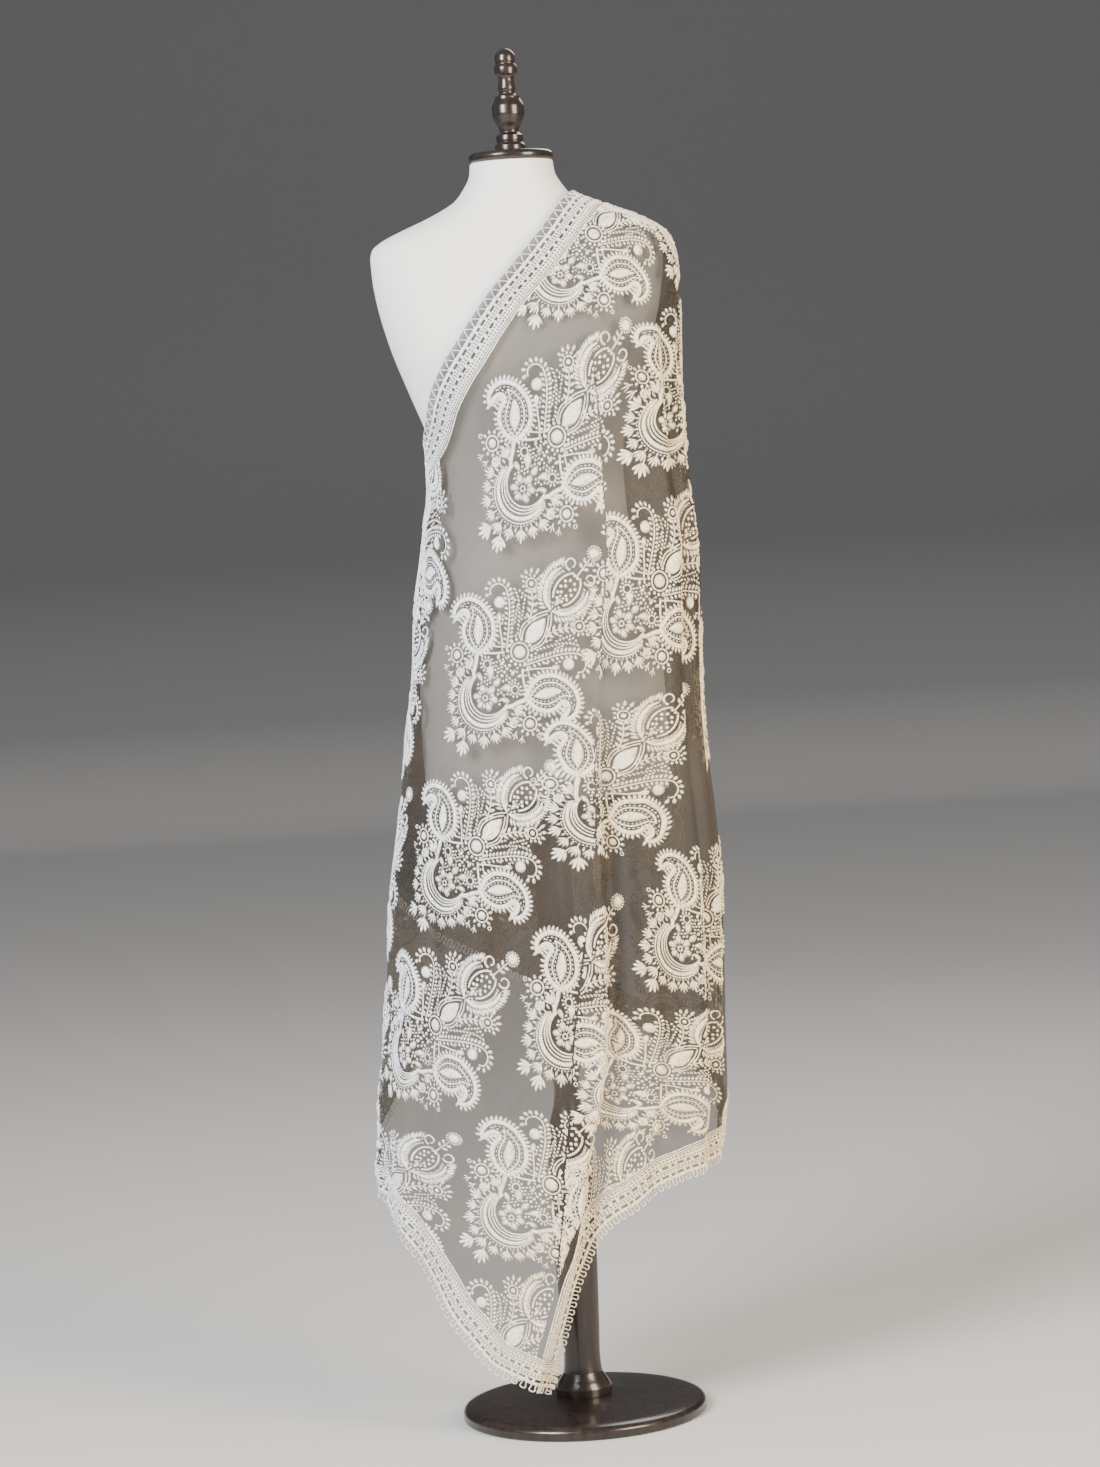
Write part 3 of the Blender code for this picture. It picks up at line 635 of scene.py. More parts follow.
def cluster():
    """One paisley cluster. a runs across it and b along its axis, from the fringe
    of its crescent (b about 0) to the ball at its tip (b about 295)."""
    kit = Stitches()
    heart, hub, crown = np.array((0.0, 62.0)), np.array((0.0, 134.0)), np.array((0.0, 229.0))

    # crescent: satin ribs that part at its middle and run together at its horns
    def rib(share, limit, count):
        th = np.radians(np.linspace(-limit, limit, count))
        k = np.abs(th) / math.radians(118)
        r = 19 + 11 * k ** 2 + share * 21 * np.cos(np.clip(k, 0, 1) * math.pi / 2) ** .75
        return np.column_stack((heart[0] + r * np.sin(th), heart[1] - r * np.cos(th)))

    for share, limit, width in ((0, 118, 2.5), (.20, 110, 2.5), (.40, 106, 2.5)):
        cord(kit, rib(share, limit, 30), width, 0.9, flat=.2)
    band = rib(.70, 104, 50)
    cord(kit, band, np.interp(np.linspace(-1, 1, 50), [-1, -.8, 0, .8, 1], [1.0, 3.6, 5.4, 3.6, 1.0]),
         .5, flat=.7)
    dashes(kit, rib(.70, 92, 60), 2.9, 8.2, 2.5, across=True)
    cord(kit, rib(.975, 102, 30), 2.1, 0.8, flat=.2)
    dashes(kit, rib(1.13, 98, 60), 4.4, 3.3, 2.2)

    # fringe of small fans
    for k in range(13):
        angle = -111 + 18.5 * k
        r = 45.5 - 7.5 * abs(k - 6) / 6
        palm(kit, place_ring(heart, r - 3, angle - 90), angle - 90, 19 if k % 2 else 20.5, 5, 20)
        if k < 12:
            leaf(kit, place_ring(heart, r - 1.5, angle - 80.7), angle - 80.7, 8, 3.0)
    for sgn in (-1, 1):
        palm(kit, place_ring(heart, 54, -90 + sgn * 6), -90 + sgn * 26, 25, 5, 21)

    # flower in the crescent's opening
    cord(kit, circle(heart, 3.0, 10), 2.4, 0.9, closed=True)
    for k, (length, width) in enumerate(((13, 9.5), (14, 10), (13, 9.5), (13, 9), (11, 9), (13, 9))):
        leaf(kit, place_ring(heart, 4.6, 30 + 60 * k), 30 + 60 * k, length, width, 1.3, round_tip=True)
    for k in range(6):
        leaf(kit, place_ring(heart, 6, 60 * k), 60 * k, 8, 3.6)
    leaf(kit, (0, 79), 90, 15, 9, 1.3)
    for b, r in ((97, 2.4), (102.5, 2.2), (108, 2.2), (113, 2.4)):
        knot(kit, (0, b), r)

    # round flower at the hub
    knot(kit, hub, 8.0, 1.4, 12)
    cord(kit, circle(hub, 11.3, 22), 2.6, 0.9, closed=True)
    for k in range(15):
        knot(kit, place_ring(hub, 15.6, 24 * k), 2.3, .9, 6)

    # pointed leaf above it
    t = np.linspace(0, 1, 13)
    cord(kit, np.column_stack((np.zeros(13), 149 + 37 * t)),
         18.5 * np.sin(math.pi * (.04 + .94 * t) ** .85) ** .8 + .4, .9, flat=.35)
    start = (len(kit.points), kit.count)

    # ---- one side, mirrored at the end
    for off, top, width in ((3.2, 4.5, 2.0), (7.0, 10, 2.2)):
        cord(kit, smooth_path([(5.2 + off * .8, 147), (9.3 + off, 158), (9.3 + off, 168),
                               (5 + off * .75, 180 + top * .5), (.9, 188 + top)], 16), width, .9)

    # side paisley
    side = Boteh([(41, 97), (49, 106), (57, 116), (66, 127), (77, 134), (88, 133.5), (96, 126),
                  (97, 115), (91, 106.5)],
                 [(0, 3), (.07, 14), (.16, 21), (.27, 24.5), (.40, 22.5), (.52, 16.5), (.63, 12.2),
                  (.76, 9.5), (.87, 7.6), (.96, 5), (1, 1.2)])
    teeth(kit, side.loop(2.2, 96), 4.9, 8.0, 4.2, slant=18)
    cord(kit, side.loop(3.4, 110), 6.2, 1.1, closed=True, flat=.55, rib=.5)
    dashes(kit, side.loop(8.7, 64), 5.4, 4.2, 2.0, closed=True)
    cord(kit, side.loop(11.9, 60), 2.6, .9, closed=True, flat=.3)
    dashes(kit, side.loop(15.0, 44), 5.0, 3.7, 1.9, closed=True)
    core = np.nonzero(side.w > 17.9)[0]
    i = core[np.linspace(0, len(core) - 1, 12).astype(int)]
    cord(kit, side.p[i], 2 * (side.w[i] - 17.2), 1.1, flat=.4, rib=.25)

    # stems from the crescent's horn and the hub into the paisley
    cord(kit, smooth_path([(27, 70), (33, 77), (37, 86), (43, 96)], 10), np.linspace(5.5, 6, 10), 1.0, flat=.4)
    cord(kit, smooth_path([(15, 121), (24, 112), (33, 105), (43, 100)], 10), 3.2, .9, flat=.3)
    cord(kit, smooth_path([(18, 127), (27, 120), (35, 115)], 8), 2.2, .8)

    # ringed flower outside the crescent, with its curls
    rosette(kit, (64.5, 76), 5.6, 8.6, 11, 6.6, 4.2)
    cord(kit, circle(place_ring((64.5, 76), 18.5, -12), 2.3, 8), 1.7, .8, closed=True)
    for at, r, a0 in (((46.5, 82), 5.0, 40), ((48, 63), 5.0, -150)):
        ang = np.radians(a0 + np.linspace(0, 290, 14))
        rad = r * np.linspace(1.1, .72, 14)
        cord(kit, np.column_stack((at[0] + rad * np.cos(ang), at[1] + rad * np.sin(ang))),
             np.linspace(3.2, 2.2, 14), .9)
    for at, angle, size in (((57, 58), -72, 12), ((66, 59), -60, 11), ((54, 93), 128, 9)):
        palm(kit, at, angle, size, 3, 34)

    # small ringed flower beside the opening, and broad leaves
    rosette(kit, (24, 95), 0, 4.8, 11, 4.8, 3.3)
    leaf(kit, (8, 82), 52, 17, 9.5, 1.2, round_tip=True)
    leaf(kit, (15, 74), 22, 14, 7, 1.2, round_tip=True)
    leaf(kit, (10, 104), 100, 10, 5)
    leaf(kit, (16, 108), 60, 9, 4.5)

    # beaded crook and its drop
    crook = smooth_path([(14, 124), (22, 136), (32, 151), (44, 167), (56, 178), (66, 182), (75, 178),
                         (78, 168), (71, 161)], 90)
    cord(kit, crook[::3], 2.3, .8)
    _, cn = sides_of(crook, False)
    for sgn in (1, -1):
        for k in range(5, 88, 4 if sgn > 0 else 5):
            if sgn < 0 and k > 56:
                continue
            d = crook[k + 1] - crook[k - 1]
            a = math.degrees(math.atan2(d[1], d[0]))
            # the beads grow towards the crook's curl
            long = (6.6 if sgn > 0 else 6.2) + 1.6 * ease((k - 30) / 40)
            leaf(kit, crook[k] + cn[k] * sgn * 1.1, a + sgn * 62, long, .64 * long, 1.2, round_tip=True)
    leaf(kit, (42, 142), 52, 15, 7.5, 1.2, round_tip=True)
    knot(kit, (58, 163), 7.6, 1.5, 12)
    cord(kit, smooth_path([(17, 119), (27, 130), (35, 137), (44, 146)], 12), 2.4, .8)
    inner = smooth_path([(11, 146), (19, 158), (30, 173), (41, 184), (52, 190)], 50)
    for k in range(3, 48, 4):
        d = inner[k + 1] - inner[k - 1]
        leaf(kit, inner[k], math.degrees(math.atan2(d[1], d[0])) - 40, 5.6, 3.2, round_tip=True)

    # sprig with a crowned flower
    sprig = smooth_path([(13, 168), (17, 178), (24, 190), (34, 200)], 46)
    cord(kit, sprig[::4], 2.0, .8)
    for k in range(6, 44, 9):
        d = sprig[k + 1] - sprig[k - 1]
        a = math.degrees(math.atan2(d[1], d[0]))
        for sgn in (-1, 1):
            leaf(kit, sprig[k], a + sgn * 50, 9.5, 4.6)
    rosette(kit, (40, 207), 3.4, 6.6, 11, 5.4, 4.0, turn=8)
    for k in range(7):
        a = 78 + (k - 3) * 27
        leaf(kit, place_ring((40, 207), 11.6, a), a, 10.5 - abs(k - 3) * 1.3, 4.6)

    # crown: big feathered petals round a beaded middle, curls, side fans
    petal = smooth_path([(1, 199), (11, 202), (20, 211), (25, 223), (26, 236), (22, 247)], 36)
    cord(kit, petal, np.interp(np.linspace(0, 1, 36), [0, .25, .6, .85, 1], [3, 6, 7, 5, 2]), 1.2,
         flat=.5, rib=.34)
    _, pn = sides_of(petal, False)
    for k in range(3, 36):
        d = petal[min(k + 1, 35)] - petal[k - 1]
        a = math.degrees(math.atan2(d[1], d[0]))
        if k % 2:
            leaf(kit, petal[k] - pn[k] * 2.4, a - 52, 11.5, 4.2)
        else:
            leaf(kit, petal[k] + pn[k] * 2.4, a + 60, 5.5, 2.6)
    cord(kit, smooth_path([(8, 212), (13, 221), (14.5, 233), (11, 245), (5, 252)], 14), 3.0, 1.0, flat=.3)
    for k, (a_, b_) in enumerate(((3.6, 215), (7.4, 221), (3.8, 224), (8.6, 229), (4, 233), (8, 237.5),
                                  (3.4, 242), (2.6, 250))):
        knot(kit, (a_, b_), 2.5, 1.2, 6)
    ang = np.radians(np.linspace(-120, 215, 22))
    rad = 7.4 * np.linspace(1.05, .62, 22)
    cord(kit, np.column_stack((15.5 + rad * np.cos(ang), 258.5 + rad * np.sin(ang))),
         np.linspace(3.4, 2.2, 22), 1.0)
    for at, angle in (((26, 240), 40), ((22, 249), 62)):
        palm(kit, at, angle, 11.5, 3, 34)
    for b, l in ((262, 8.5), (269.5, 8.5)):
        leaf(kit, (.8, b), 40, l, 4.8, round_tip=True)
    leaf(kit, (3, 200), 28, 13, 4.6)
    mirror(kit, start)

    # stem and ball, on the axis
    cord(kit, np.array([(0, 250), (0, 259), (0, 268), (0, 278)], float), 2.4, .9)
    leaf(kit, (0, 205), 90, 13, 6, 1.2)
    knot(kit, (0, 287), 7.2, 1.6, 14)
    for k in range(16):
        a = 22.5 * k
        leaf(kit, place_ring((0, 287), 6.6, a), a, 4.0, 2.7)

    half = curve((60, 75, 85, 100, 115, 135, 160, 175, 190, 205, 215, 225),
                 (14, 24, 30, 36, 34, 36, 50, 52, 48, 30, 14, 4))
    seeds(kit, lambda a, b: b < 222 and a < half(b), 4.7, 4.6, 3.2, 1.0)
    return kit.arrays()


# =====================================================================
# Placing the clusters
# =====================================================================
Spot = namedtuple("Spot", "name b x z px pz qx qz")
# Clusters seen from the front. b is the point of the axis that lies at (x, z);
# one millimetre along the axis goes (px, pz) in the front view and one across
# it (qx, qz), so each follows the lean and the gather of the cloth there.
SPOTS = [Spot(*row) for row in (
    ("a1", 62, 50, 1390, .61, .66, .66, -.62), ("a2", 134, 35, 1199, .61, .82, .65, -.68),
    ("a3", 134, -24, 947, .62, .73, .67, -.67), ("a4", 134, -88, 719, .59, .59, .54, -.75),
    ("a5", 134, -152, 505, .54, .51, .37, -.84), ("a6", 229, -175, 343, .57, .45, .61, -.70),
    ("b2", 62, 165, 1208, .42, .74, .40, -.80), ("b3", 62, 100, 973, .71, .66, .60, -.80),
    ("b4", 134, 70, 792, .69, .60, .61, -.67), ("b5", 62, 0, 487, .64, .66, .60, -.78),
    ("b6", 134, -28, 309, .69, .53, .62, -.80), ("b7", 134, -99, 107, .60, .62, .60, -.74),
    ("c4", 62, 146, 579, .66, .42, .50, -.86), ("c5", 134, 114, 436, .62, .34, .46, -.74),
    ("c6", 134, 29, 259, .50, .70, .40, -.74), ("z2", 134, -129, 1100, .22, .80, .24, -.70))]
PITCH_A = (-54.0, -226.0)   # one cluster to the next, down the cloth
PITCH_B = (205.0, 78.0)     # and across it

# Cloth that a fold swallows: at each height, how much of the pattern is hidden
# behind the ridge of the main fold.
Tuck = namedtuple("Tuck", "z phi hidden")
TUCK = [Tuck(*row) for row in (
    (1300, 112, 0), (1140, 109, 16), (1000, 107, 8), (860, 103, 8), (700, 101, 34), (560, 97, 50),
    (300, 92, 44), (60, 80, 20))]


def phi_at(x, z):
    """Angle on the front where the cloth is at x."""
    low, high = 0.0, 180.0
    for _ in range(50):
        mid = (low + high) / 2
        if plain_section(mid, z)[0] < x:
            low = mid
        else:
            high = mid
    return (low + high) / 2


def level_run(z):
    """Length along the cloth at one height, from the front's middle line x = 0."""
    phi = np.linspace(-150, 360, 1531)
    p = surface(phi, np.full_like(phi, z), False)
    run = np.concatenate(([0], np.cumsum(np.linalg.norm(np.diff(p, axis=0), axis=1))))
    return phi, run - np.interp(phi_at(0.0, z), phi, run)


def on_surface(phi, z, x_part, z_part):
    """The direction on the cloth that shows as (x_part, z_part) from the front."""
    a, b, _ = slopes(np.array([phi]), np.array([float(z)]), False)
    turn = max(abs(a[0, 0]), .45 * np.linalg.norm(a[0]))
    d_phi = (x_part - b[0, 0] * z_part) / turn
    d = a[0] * d_phi + b[0] * z_part
    length = np.linalg.norm(d)
    return d / length, min(length, 1.06)


def leaning(phi, z):
    """Along and across of a cluster that leans as they do all over the cloth."""
    a, _, n = slopes(np.array([float(phi)]), np.array([float(z)]), False)
    level = unit(a)[0]
    up = np.cross(n[0], level)
    lean = math.radians(51)
    return (level * math.cos(lean) + up * math.sin(lean),
            level * math.sin(lean) - up * math.cos(lean))


def all_spots():
    """Angle, height, point of the axis, and the vectors along and across, of
    every cluster on the cloth."""
    rows, taken = [], []
    for s in SPOTS:
        phi = phi_at(s.x, s.z)
        ahead, size = on_surface(phi, s.z, s.px, s.pz)
        across, wide = on_surface(phi, s.z, s.qx, s.qz)
        rows.append((phi, float(s.z), s.b, ahead, size, across, wide))
        phi_row, run = level_run(s.z)
        shift = (134 - s.b) * .65
        taken.append((np.interp(phi, phi_row, run) + shift, s.z + shift))
    # one comes round the outer edge of the shoulder
    ahead, across = leaning(181, 1432)
    rows.append((181.0, 1432.0, 62, ahead, .95, across, .95))
    taken = np.array(taken)
    # The same repeat goes on round both sides.
    for j in range(-5, 6):
        for i in range(-8, 9):
            l = 35.0 + i * PITCH_A[0] + j * PITCH_B[0] - (30 if j < 0 else 0)
            z = 1199.0 + i * PITCH_A[1] + j * PITCH_B[1]
            if not 60 < z < 1470:
                continue
            phi_row, run = level_run(z)
            if not run[0] < l < run[-1]:
                continue
            phi = float(np.interp(l, run, phi_row))
            if 12 < phi < 168 or phi < PHI_WRAP_END - 8 or phi > PHI_BACK_END - 2:
                continue
            if np.hypot(taken[:, 0] - l, taken[:, 1] - z).min() < 175:
                continue
            top = np.interp(phi, EDGE_PHI, TOP_Z)
            foot = np.interp(phi, EDGE_PHI, FOOT_Z)
            if foot - 90 < z < top + 90:
                ahead, across = leaning(phi, z)
                rows.append((phi, z, 134, ahead, .95, across, .95))
                taken = np.vstack((taken, (l, z)))
    return rows


STEP = 2.5
LOW_B, HIGH_B = -22.0, 302.0
HALF_A = 118.0


def patches(spots):
    """For every cluster a grid of angles and heights: across (a) by along (b).
    Row 0 of the along direction is LOW_B."""
    phi0 = np.array([s[0] for s in spots])
    z0 = np.array([s[1] for s in spots])
    anchor = np.array([s[2] for s in spots], float)
    ahead = np.array([s[3] for s in spots])
    size = np.array([s[4] for s in spots])
    across = np.array([s[5] for s in spots])
    wide = np.array([s[6] for s in spots])
    # walk to each end of the axis, then read it at even places
    most = int(max(HIGH_B - anchor.min(), anchor.max() - LOW_B) / STEP) + 1
    fp, fz, fd = walk(phi0, z0, ahead, STEP * size, most)
    bp, bz, bd = walk(phi0, z0, -ahead, STEP * size, most)
    phi = np.concatenate((bp[:0:-1], fp))
    z = np.concatenate((bz[:0:-1], fz))
    d = np.concatenate((-bd[:0:-1], fd))
    rows = int((HIGH_B - LOW_B) / STEP) + 1
    first = np.rint(most + (LOW_B - anchor) / STEP).astype(int)
    pick = first[None, :] + np.arange(rows)[:, None]
    each = np.arange(len(spots))[None, :]
    phi, z, d = phi[pick, each], z[pick, each], d[pick, each]
    _, _, n = slopes(phi, z, False)
    right = unit(np.cross(d, n))
    # across in terms of the axis and of its right hand side, as at the anchor
    _, _, n0 = slopes(phi0, z0, False)
    right0 = unit(np.cross(ahead, n0))
    along_part = (across * ahead).sum(-1)[None, :, None]
    right_part = (across * right0).sum(-1)[None, :, None]
    sideways = unit(d * along_part + right * right_part)
    side = int(HALF_A / STEP)
    step = np.broadcast_to(STEP * wide, phi.shape).ravel()
    rp, rz, _ = walk(phi.ravel(), z.ravel(), sideways.reshape(-1, 3), step, side)
    lp, lz, _ = walk(phi.ravel(), z.ravel(), -sideways.reshape(-1, 3), step, side)
    gp = np.concatenate((lp[:0:-1], rp)).reshape(2 * side + 1, rows, len(spots))
    gz = np.concatenate((lz[:0:-1], rz)).reshape(2 * side + 1, rows, len(spots))
    return gp.transpose(2, 0, 1), gz.transpose(2, 0, 1), first * STEP - most * STEP + anchor


def swallow(flat, spot, grid, low):
    """Moves what lies past the main fold's ridge in by what the fold hides, and
    says which points stay in sight."""
    def look(p):
        u = (p[:, 0] + int(HALF_A / STEP) * STEP) / STEP
        v = (p[:, 1] - low) / STEP
        return look_up(grid, u, v)

    where = look(flat)
    if spot[0] < 0 or spot[0] > 180:
        return flat, np.ones(len(flat), bool)
    ridge = column(TUCK, "z", "phi")
    hidden = column(TUCK, "z", "hidden")
    past = where[:, 0] - ridge(where[:, 1])
    size = hidden(where[:, 1])
    # one step to the right over the cloth, in cluster coordinates
    ahead, across = spot[3] * spot[4], spot[5] * spot[6]
    a, _, _ = slopes(np.array([spot[0]]), np.array([spot[1]]), False)
    level = unit(a)[0]
    gram = np.array([[across @ across, across @ ahead], [across @ ahead, ahead @ ahead]])
    step = np.linalg.solve(gram, np.array([across @ level, ahead @ level]))
    near = spot[0] > ridge(spot[1])
    # The anchor's own side of the ridge stays where it is.
    moves = past < 0 if near else past > 0
    sign = 1.0 if near else -1.0
    moved = np.where(moves[:, None], flat[:, :2] + sign * step[None, :] * size[:, None], flat[:, :2])
    after = look(moved)[:, 0] - ridge(where[:, 1])
    shown = ~moves | (after < 0 if near else after > 0)
    return np.column_stack((moved, flat[:, 2])), shown


def look_up(grid, u, v):
    """Values of a grid (i, j, ...) at places between its points."""
    u = np.clip(u, 0, grid.shape[0] - 1.001)
    v = np.clip(v, 0, grid.shape[1] - 1.001)
    i, j = u.astype(int), v.astype(int)
    f, g = (u - i)[:, None], (v - j)[:, None]
    return ((grid[i, j] * (1 - f) + grid[i + 1, j] * f) * (1 - g)
            + (grid[i, j + 1] * (1 - f) + grid[i + 1, j + 1] * f) * g)


# =====================================================================
# Meshes and materials
# =====================================================================
def make_mesh(name, points, tris, material, smooth=True, scale=MM):
    mesh = bpy.data.meshes.new(name)
    points = np.asarray(points, np.float32) * scale
    tris = np.asarray(tris, np.int32)
    mesh.vertices.add(len(points))
    mesh.vertices.foreach_set("co", points.ravel())
    mesh.loops.add(tris.size)
    mesh.loops.foreach_set("vertex_index", tris.ravel())
    mesh.polygons.add(len(tris))
    mesh.polygons.foreach_set("loop_start", np.arange(len(tris), dtype=np.int32) * tris.shape[1])
    mesh.polygons.foreach_set("use_smooth", np.full(len(tris), smooth))
    mesh.update(calc_edges=True)
    mesh.validate()
    mesh.materials.append(material)
    obj = bpy.data.objects.new(name, mesh)
    bpy.context.scene.collection.objects.link(obj)
    return obj


def volume_sign(points, tris):
    a, b, c = (points[tris[:, k]] for k in range(3))
    return np.sign((a * np.cross(b, c)).sum())


def drop_unused(points, tris):
    used = np.zeros(len(points), bool)
    used[tris.ravel()] = True
    index = np.cumsum(used) - 1
    return points[used], index[tris]


class Nodes:
    """Short hand for building one material's node tree."""

    def __init__(self, name):
        self.mat = bpy.data.materials.new(name)
        self.mat.use_nodes = True
        self.tree = self.mat.node_tree
        self.shader = self.tree.nodes["Principled BSDF"]

    def add(self, kind, **values):
        node = self.tree.nodes.new(kind)
        for key, value in values.items():
            if key in node.inputs:
                node.inputs[key].default_value = value
            else:
                setattr(node, key, value)
        return node

    def link(self, source, target):
        self.tree.links.new(source, target)

    def ramp(self, source, stops):
        node = self.add("ShaderNodeValToRGB")
        ramp = node.color_ramp
        while len(ramp.elements) < len(stops):
            ramp.elements.new(0.5)
        for element, (place, colour) in zip(ramp.elements, stops):
            element.position = place
            element.color = (*colour, 1.0)
        self.link(source, node.inputs[0])
        return node.outputs[0]

    def set(self, **values):
        for key, value in values.items():
            self.shader.inputs[key.replace("_", " ")].default_value = value


def thread_material():
    m = Nodes("ivory_thread")
    where = m.add("ShaderNodeTexCoord").outputs["Object"]
    # painted light: a cool tint at the upper left and a warm tint towards the lower right, where the warm light
    # falls, over the thread's own ivory
    split = m.add("ShaderNodeSeparateXYZ")
    m.link(where, split.inputs[0])
    lean = m.add("ShaderNodeMath", operation="MULTIPLY_ADD")
    m.link(split.outputs["Z"], lean.inputs[0])
    lean.inputs[1].default_value = -0.35
    lean.inputs[2].default_value = 0.72
    place = m.add("ShaderNodeMath", operation="MULTIPLY_ADD")
    m.link(split.outputs["X"], place.inputs[0])
    place.inputs[1].default_value = 2.1
    m.link(lean.outputs[0], place.inputs[2])
    cloud = m.add("ShaderNodeTexNoise", Scale=9.0, Detail=3.0)
    m.link(where, cloud.inputs["Vector"])
    mixed = m.add("ShaderNodeMath", operation="MULTIPLY_ADD")
    m.link(cloud.outputs[0], mixed.inputs[0])
    mixed.inputs[1].default_value = 0.35
    m.link(place.outputs[0], mixed.inputs[2])
    tone = m.ramp(mixed.outputs[0], ((0.28, (0.90, 0.92, 0.96)), (0.55, (0.94, 0.91, 0.83)),
                                     (0.88, (0.95, 0.82, 0.565))))
    strands = m.add("ShaderNodeTexNoise", Scale=900.0, Detail=2.0)
    m.link(where, strands.inputs["Vector"])
    dark = m.add("ShaderNodeMix", data_type="RGBA", blend_type="MULTIPLY")
    m.link(tone, dark.inputs[6])
    shade = m.ramp(strands.outputs[0], ((0.3, (0.80, 0.80, 0.80)), (0.62, (1.0, 1.0, 1.0))))
    m.link(shade, dark.inputs[7])
    dark.inputs[0].default_value = 1.0
    # painted shade in the gaps between little bundles of stitches: the colour darkens towards each cell's border
    bundles = m.add("ShaderNodeTexVoronoi", Scale=330.0)
    m.link(where, bundles.inputs["Vector"])
    painted_gap_shade = m.ramp(bundles.outputs["Distance"], ((0.50, (1.0, 1.0, 1.0)), (0.88, (0.62, 0.60, 0.57))))
    with_painted_gap_shade = m.add("ShaderNodeMix", data_type="RGBA", blend_type="MULTIPLY")
    m.link(dark.outputs[2], with_painted_gap_shade.inputs[6])
    m.link(painted_gap_shade, with_painted_gap_shade.inputs[7])
    with_painted_gap_shade.inputs[0].default_value = 1.0
    m.link(with_painted_gap_shade.outputs[2], m.shader.inputs["Base Color"])
    bump = m.add("ShaderNodeBump", Strength=0.5, Distance=0.0004)
    m.link(strands.outputs[0], bump.inputs["Height"])
    m.link(bump.outputs[0], m.shader.inputs["Normal"])
    rough = m.add("ShaderNodeMapRange")
    m.link(strands.outputs[0], rough.inputs[0])
    rough.inputs[3].default_value = 0.42
    rough.inputs[4].default_value = 0.62
    m.link(rough.outputs[0], m.shader.inputs["Roughness"])
    m.set(Sheen_Weight=0.25, Sheen_Roughness=0.4, Specular_IOR_Level=0.4)
    return m.mat


def organza_material():
    m = Nodes("organza")
    uv = m.add("ShaderNodeUVMap", uv_map="weave").outputs[0]
    where = m.add("ShaderNodeTexCoord").outputs["Object"]
    cloud = m.add("ShaderNodeTexNoise", Scale=7.0, Detail=4.0, Roughness=0.6)
    m.link(where, cloud.inputs["Vector"])
    tone = m.ramp(cloud.outputs[0], ((0.3, (0.036, 0.032, 0.030)), (0.7, (0.070, 0.056, 0.042))))
    edge = m.add("ShaderNodeSeparateXYZ")
    m.link(m.add("ShaderNodeUVMap", uv_map="hem").outputs[0], edge.inputs[0])
    deeper = m.add("ShaderNodeMix", data_type="RGBA", blend_type="MIX")
    m.link(edge.outputs[0], deeper.inputs[0])
    m.link(tone, deeper.inputs[6])
    deeper.inputs[7].default_value = (0.095, 0.096, 0.100, 1.0)
    m.link(deeper.outputs[2], m.shader.inputs["Base Color"])
    # warp and weft, a thread every 0.9 mm with slubs
    bands = []
    for k, direction in enumerate(("X", "Y")):
        wave = m.add("ShaderNodeTexWave", wave_type="BANDS", bands_direction=direction, Scale=340.0,
                     Distortion=0.6)
        wave.inputs["Detail"].default_value = 1.0
        m.link(uv, wave.inputs["Vector"])
        bands.append(wave.outputs["Fac"])
    weave = m.add("ShaderNodeMath", operation="MAXIMUM")
    m.link(bands[0], weave.inputs[0])
    m.link(bands[1], weave.inputs[1])
    slub = m.add("ShaderNodeTexNoise", Scale=26.0, Detail=3.0)
    stretch = m.add("ShaderNodeMapping")
    stretch.inputs["Scale"].default_value = (0.25, 4.0, 1.0)
    m.link(uv, stretch.inputs[0])
    m.link(stretch.outputs[0], slub.inputs["Vector"])
    both = m.add("ShaderNodeMath", operation="MULTIPLY_ADD")
    m.link(slub.outputs[0], both.inputs[0])
    both.inputs[1].default_value = 0.7
    m.link(weave.outputs[0], both.inputs[2])
    alpha = m.add("ShaderNodeMapRange")
    m.link(both.outputs[0], alpha.inputs[0])
    alpha.inputs[1].default_value = 0.4
    alpha.inputs[2].default_value = 1.7
    alpha.inputs[3].default_value = 0.53
    alpha.inputs[4].default_value = 0.72
    # the doubled strip along the neck edge is denser
    dense = m.add("ShaderNodeMath", operation="MULTIPLY_ADD")
    m.link(edge.outputs[0], dense.inputs[0])
    dense.inputs[1].default_value = 0.20
    m.link(alpha.outputs[0], dense.inputs[2])
    m.link(dense.outputs[0], m.shader.inputs["Alpha"])
    bump = m.add("ShaderNodeBump", Strength=0.25, Distance=0.0002)
    m.link(both.outputs[0], bump.inputs["Height"])
    m.link(bump.outputs[0], m.shader.inputs["Normal"])
    m.set(Roughness=0.46, Sheen_Weight=0.11, Sheen_Roughness=0.4, Specular_IOR_Level=0.22)
    m.shader.inputs["Sheen Tint"].default_value = (0.75, 0.69, 0.62, 1.0)
    return m.mat


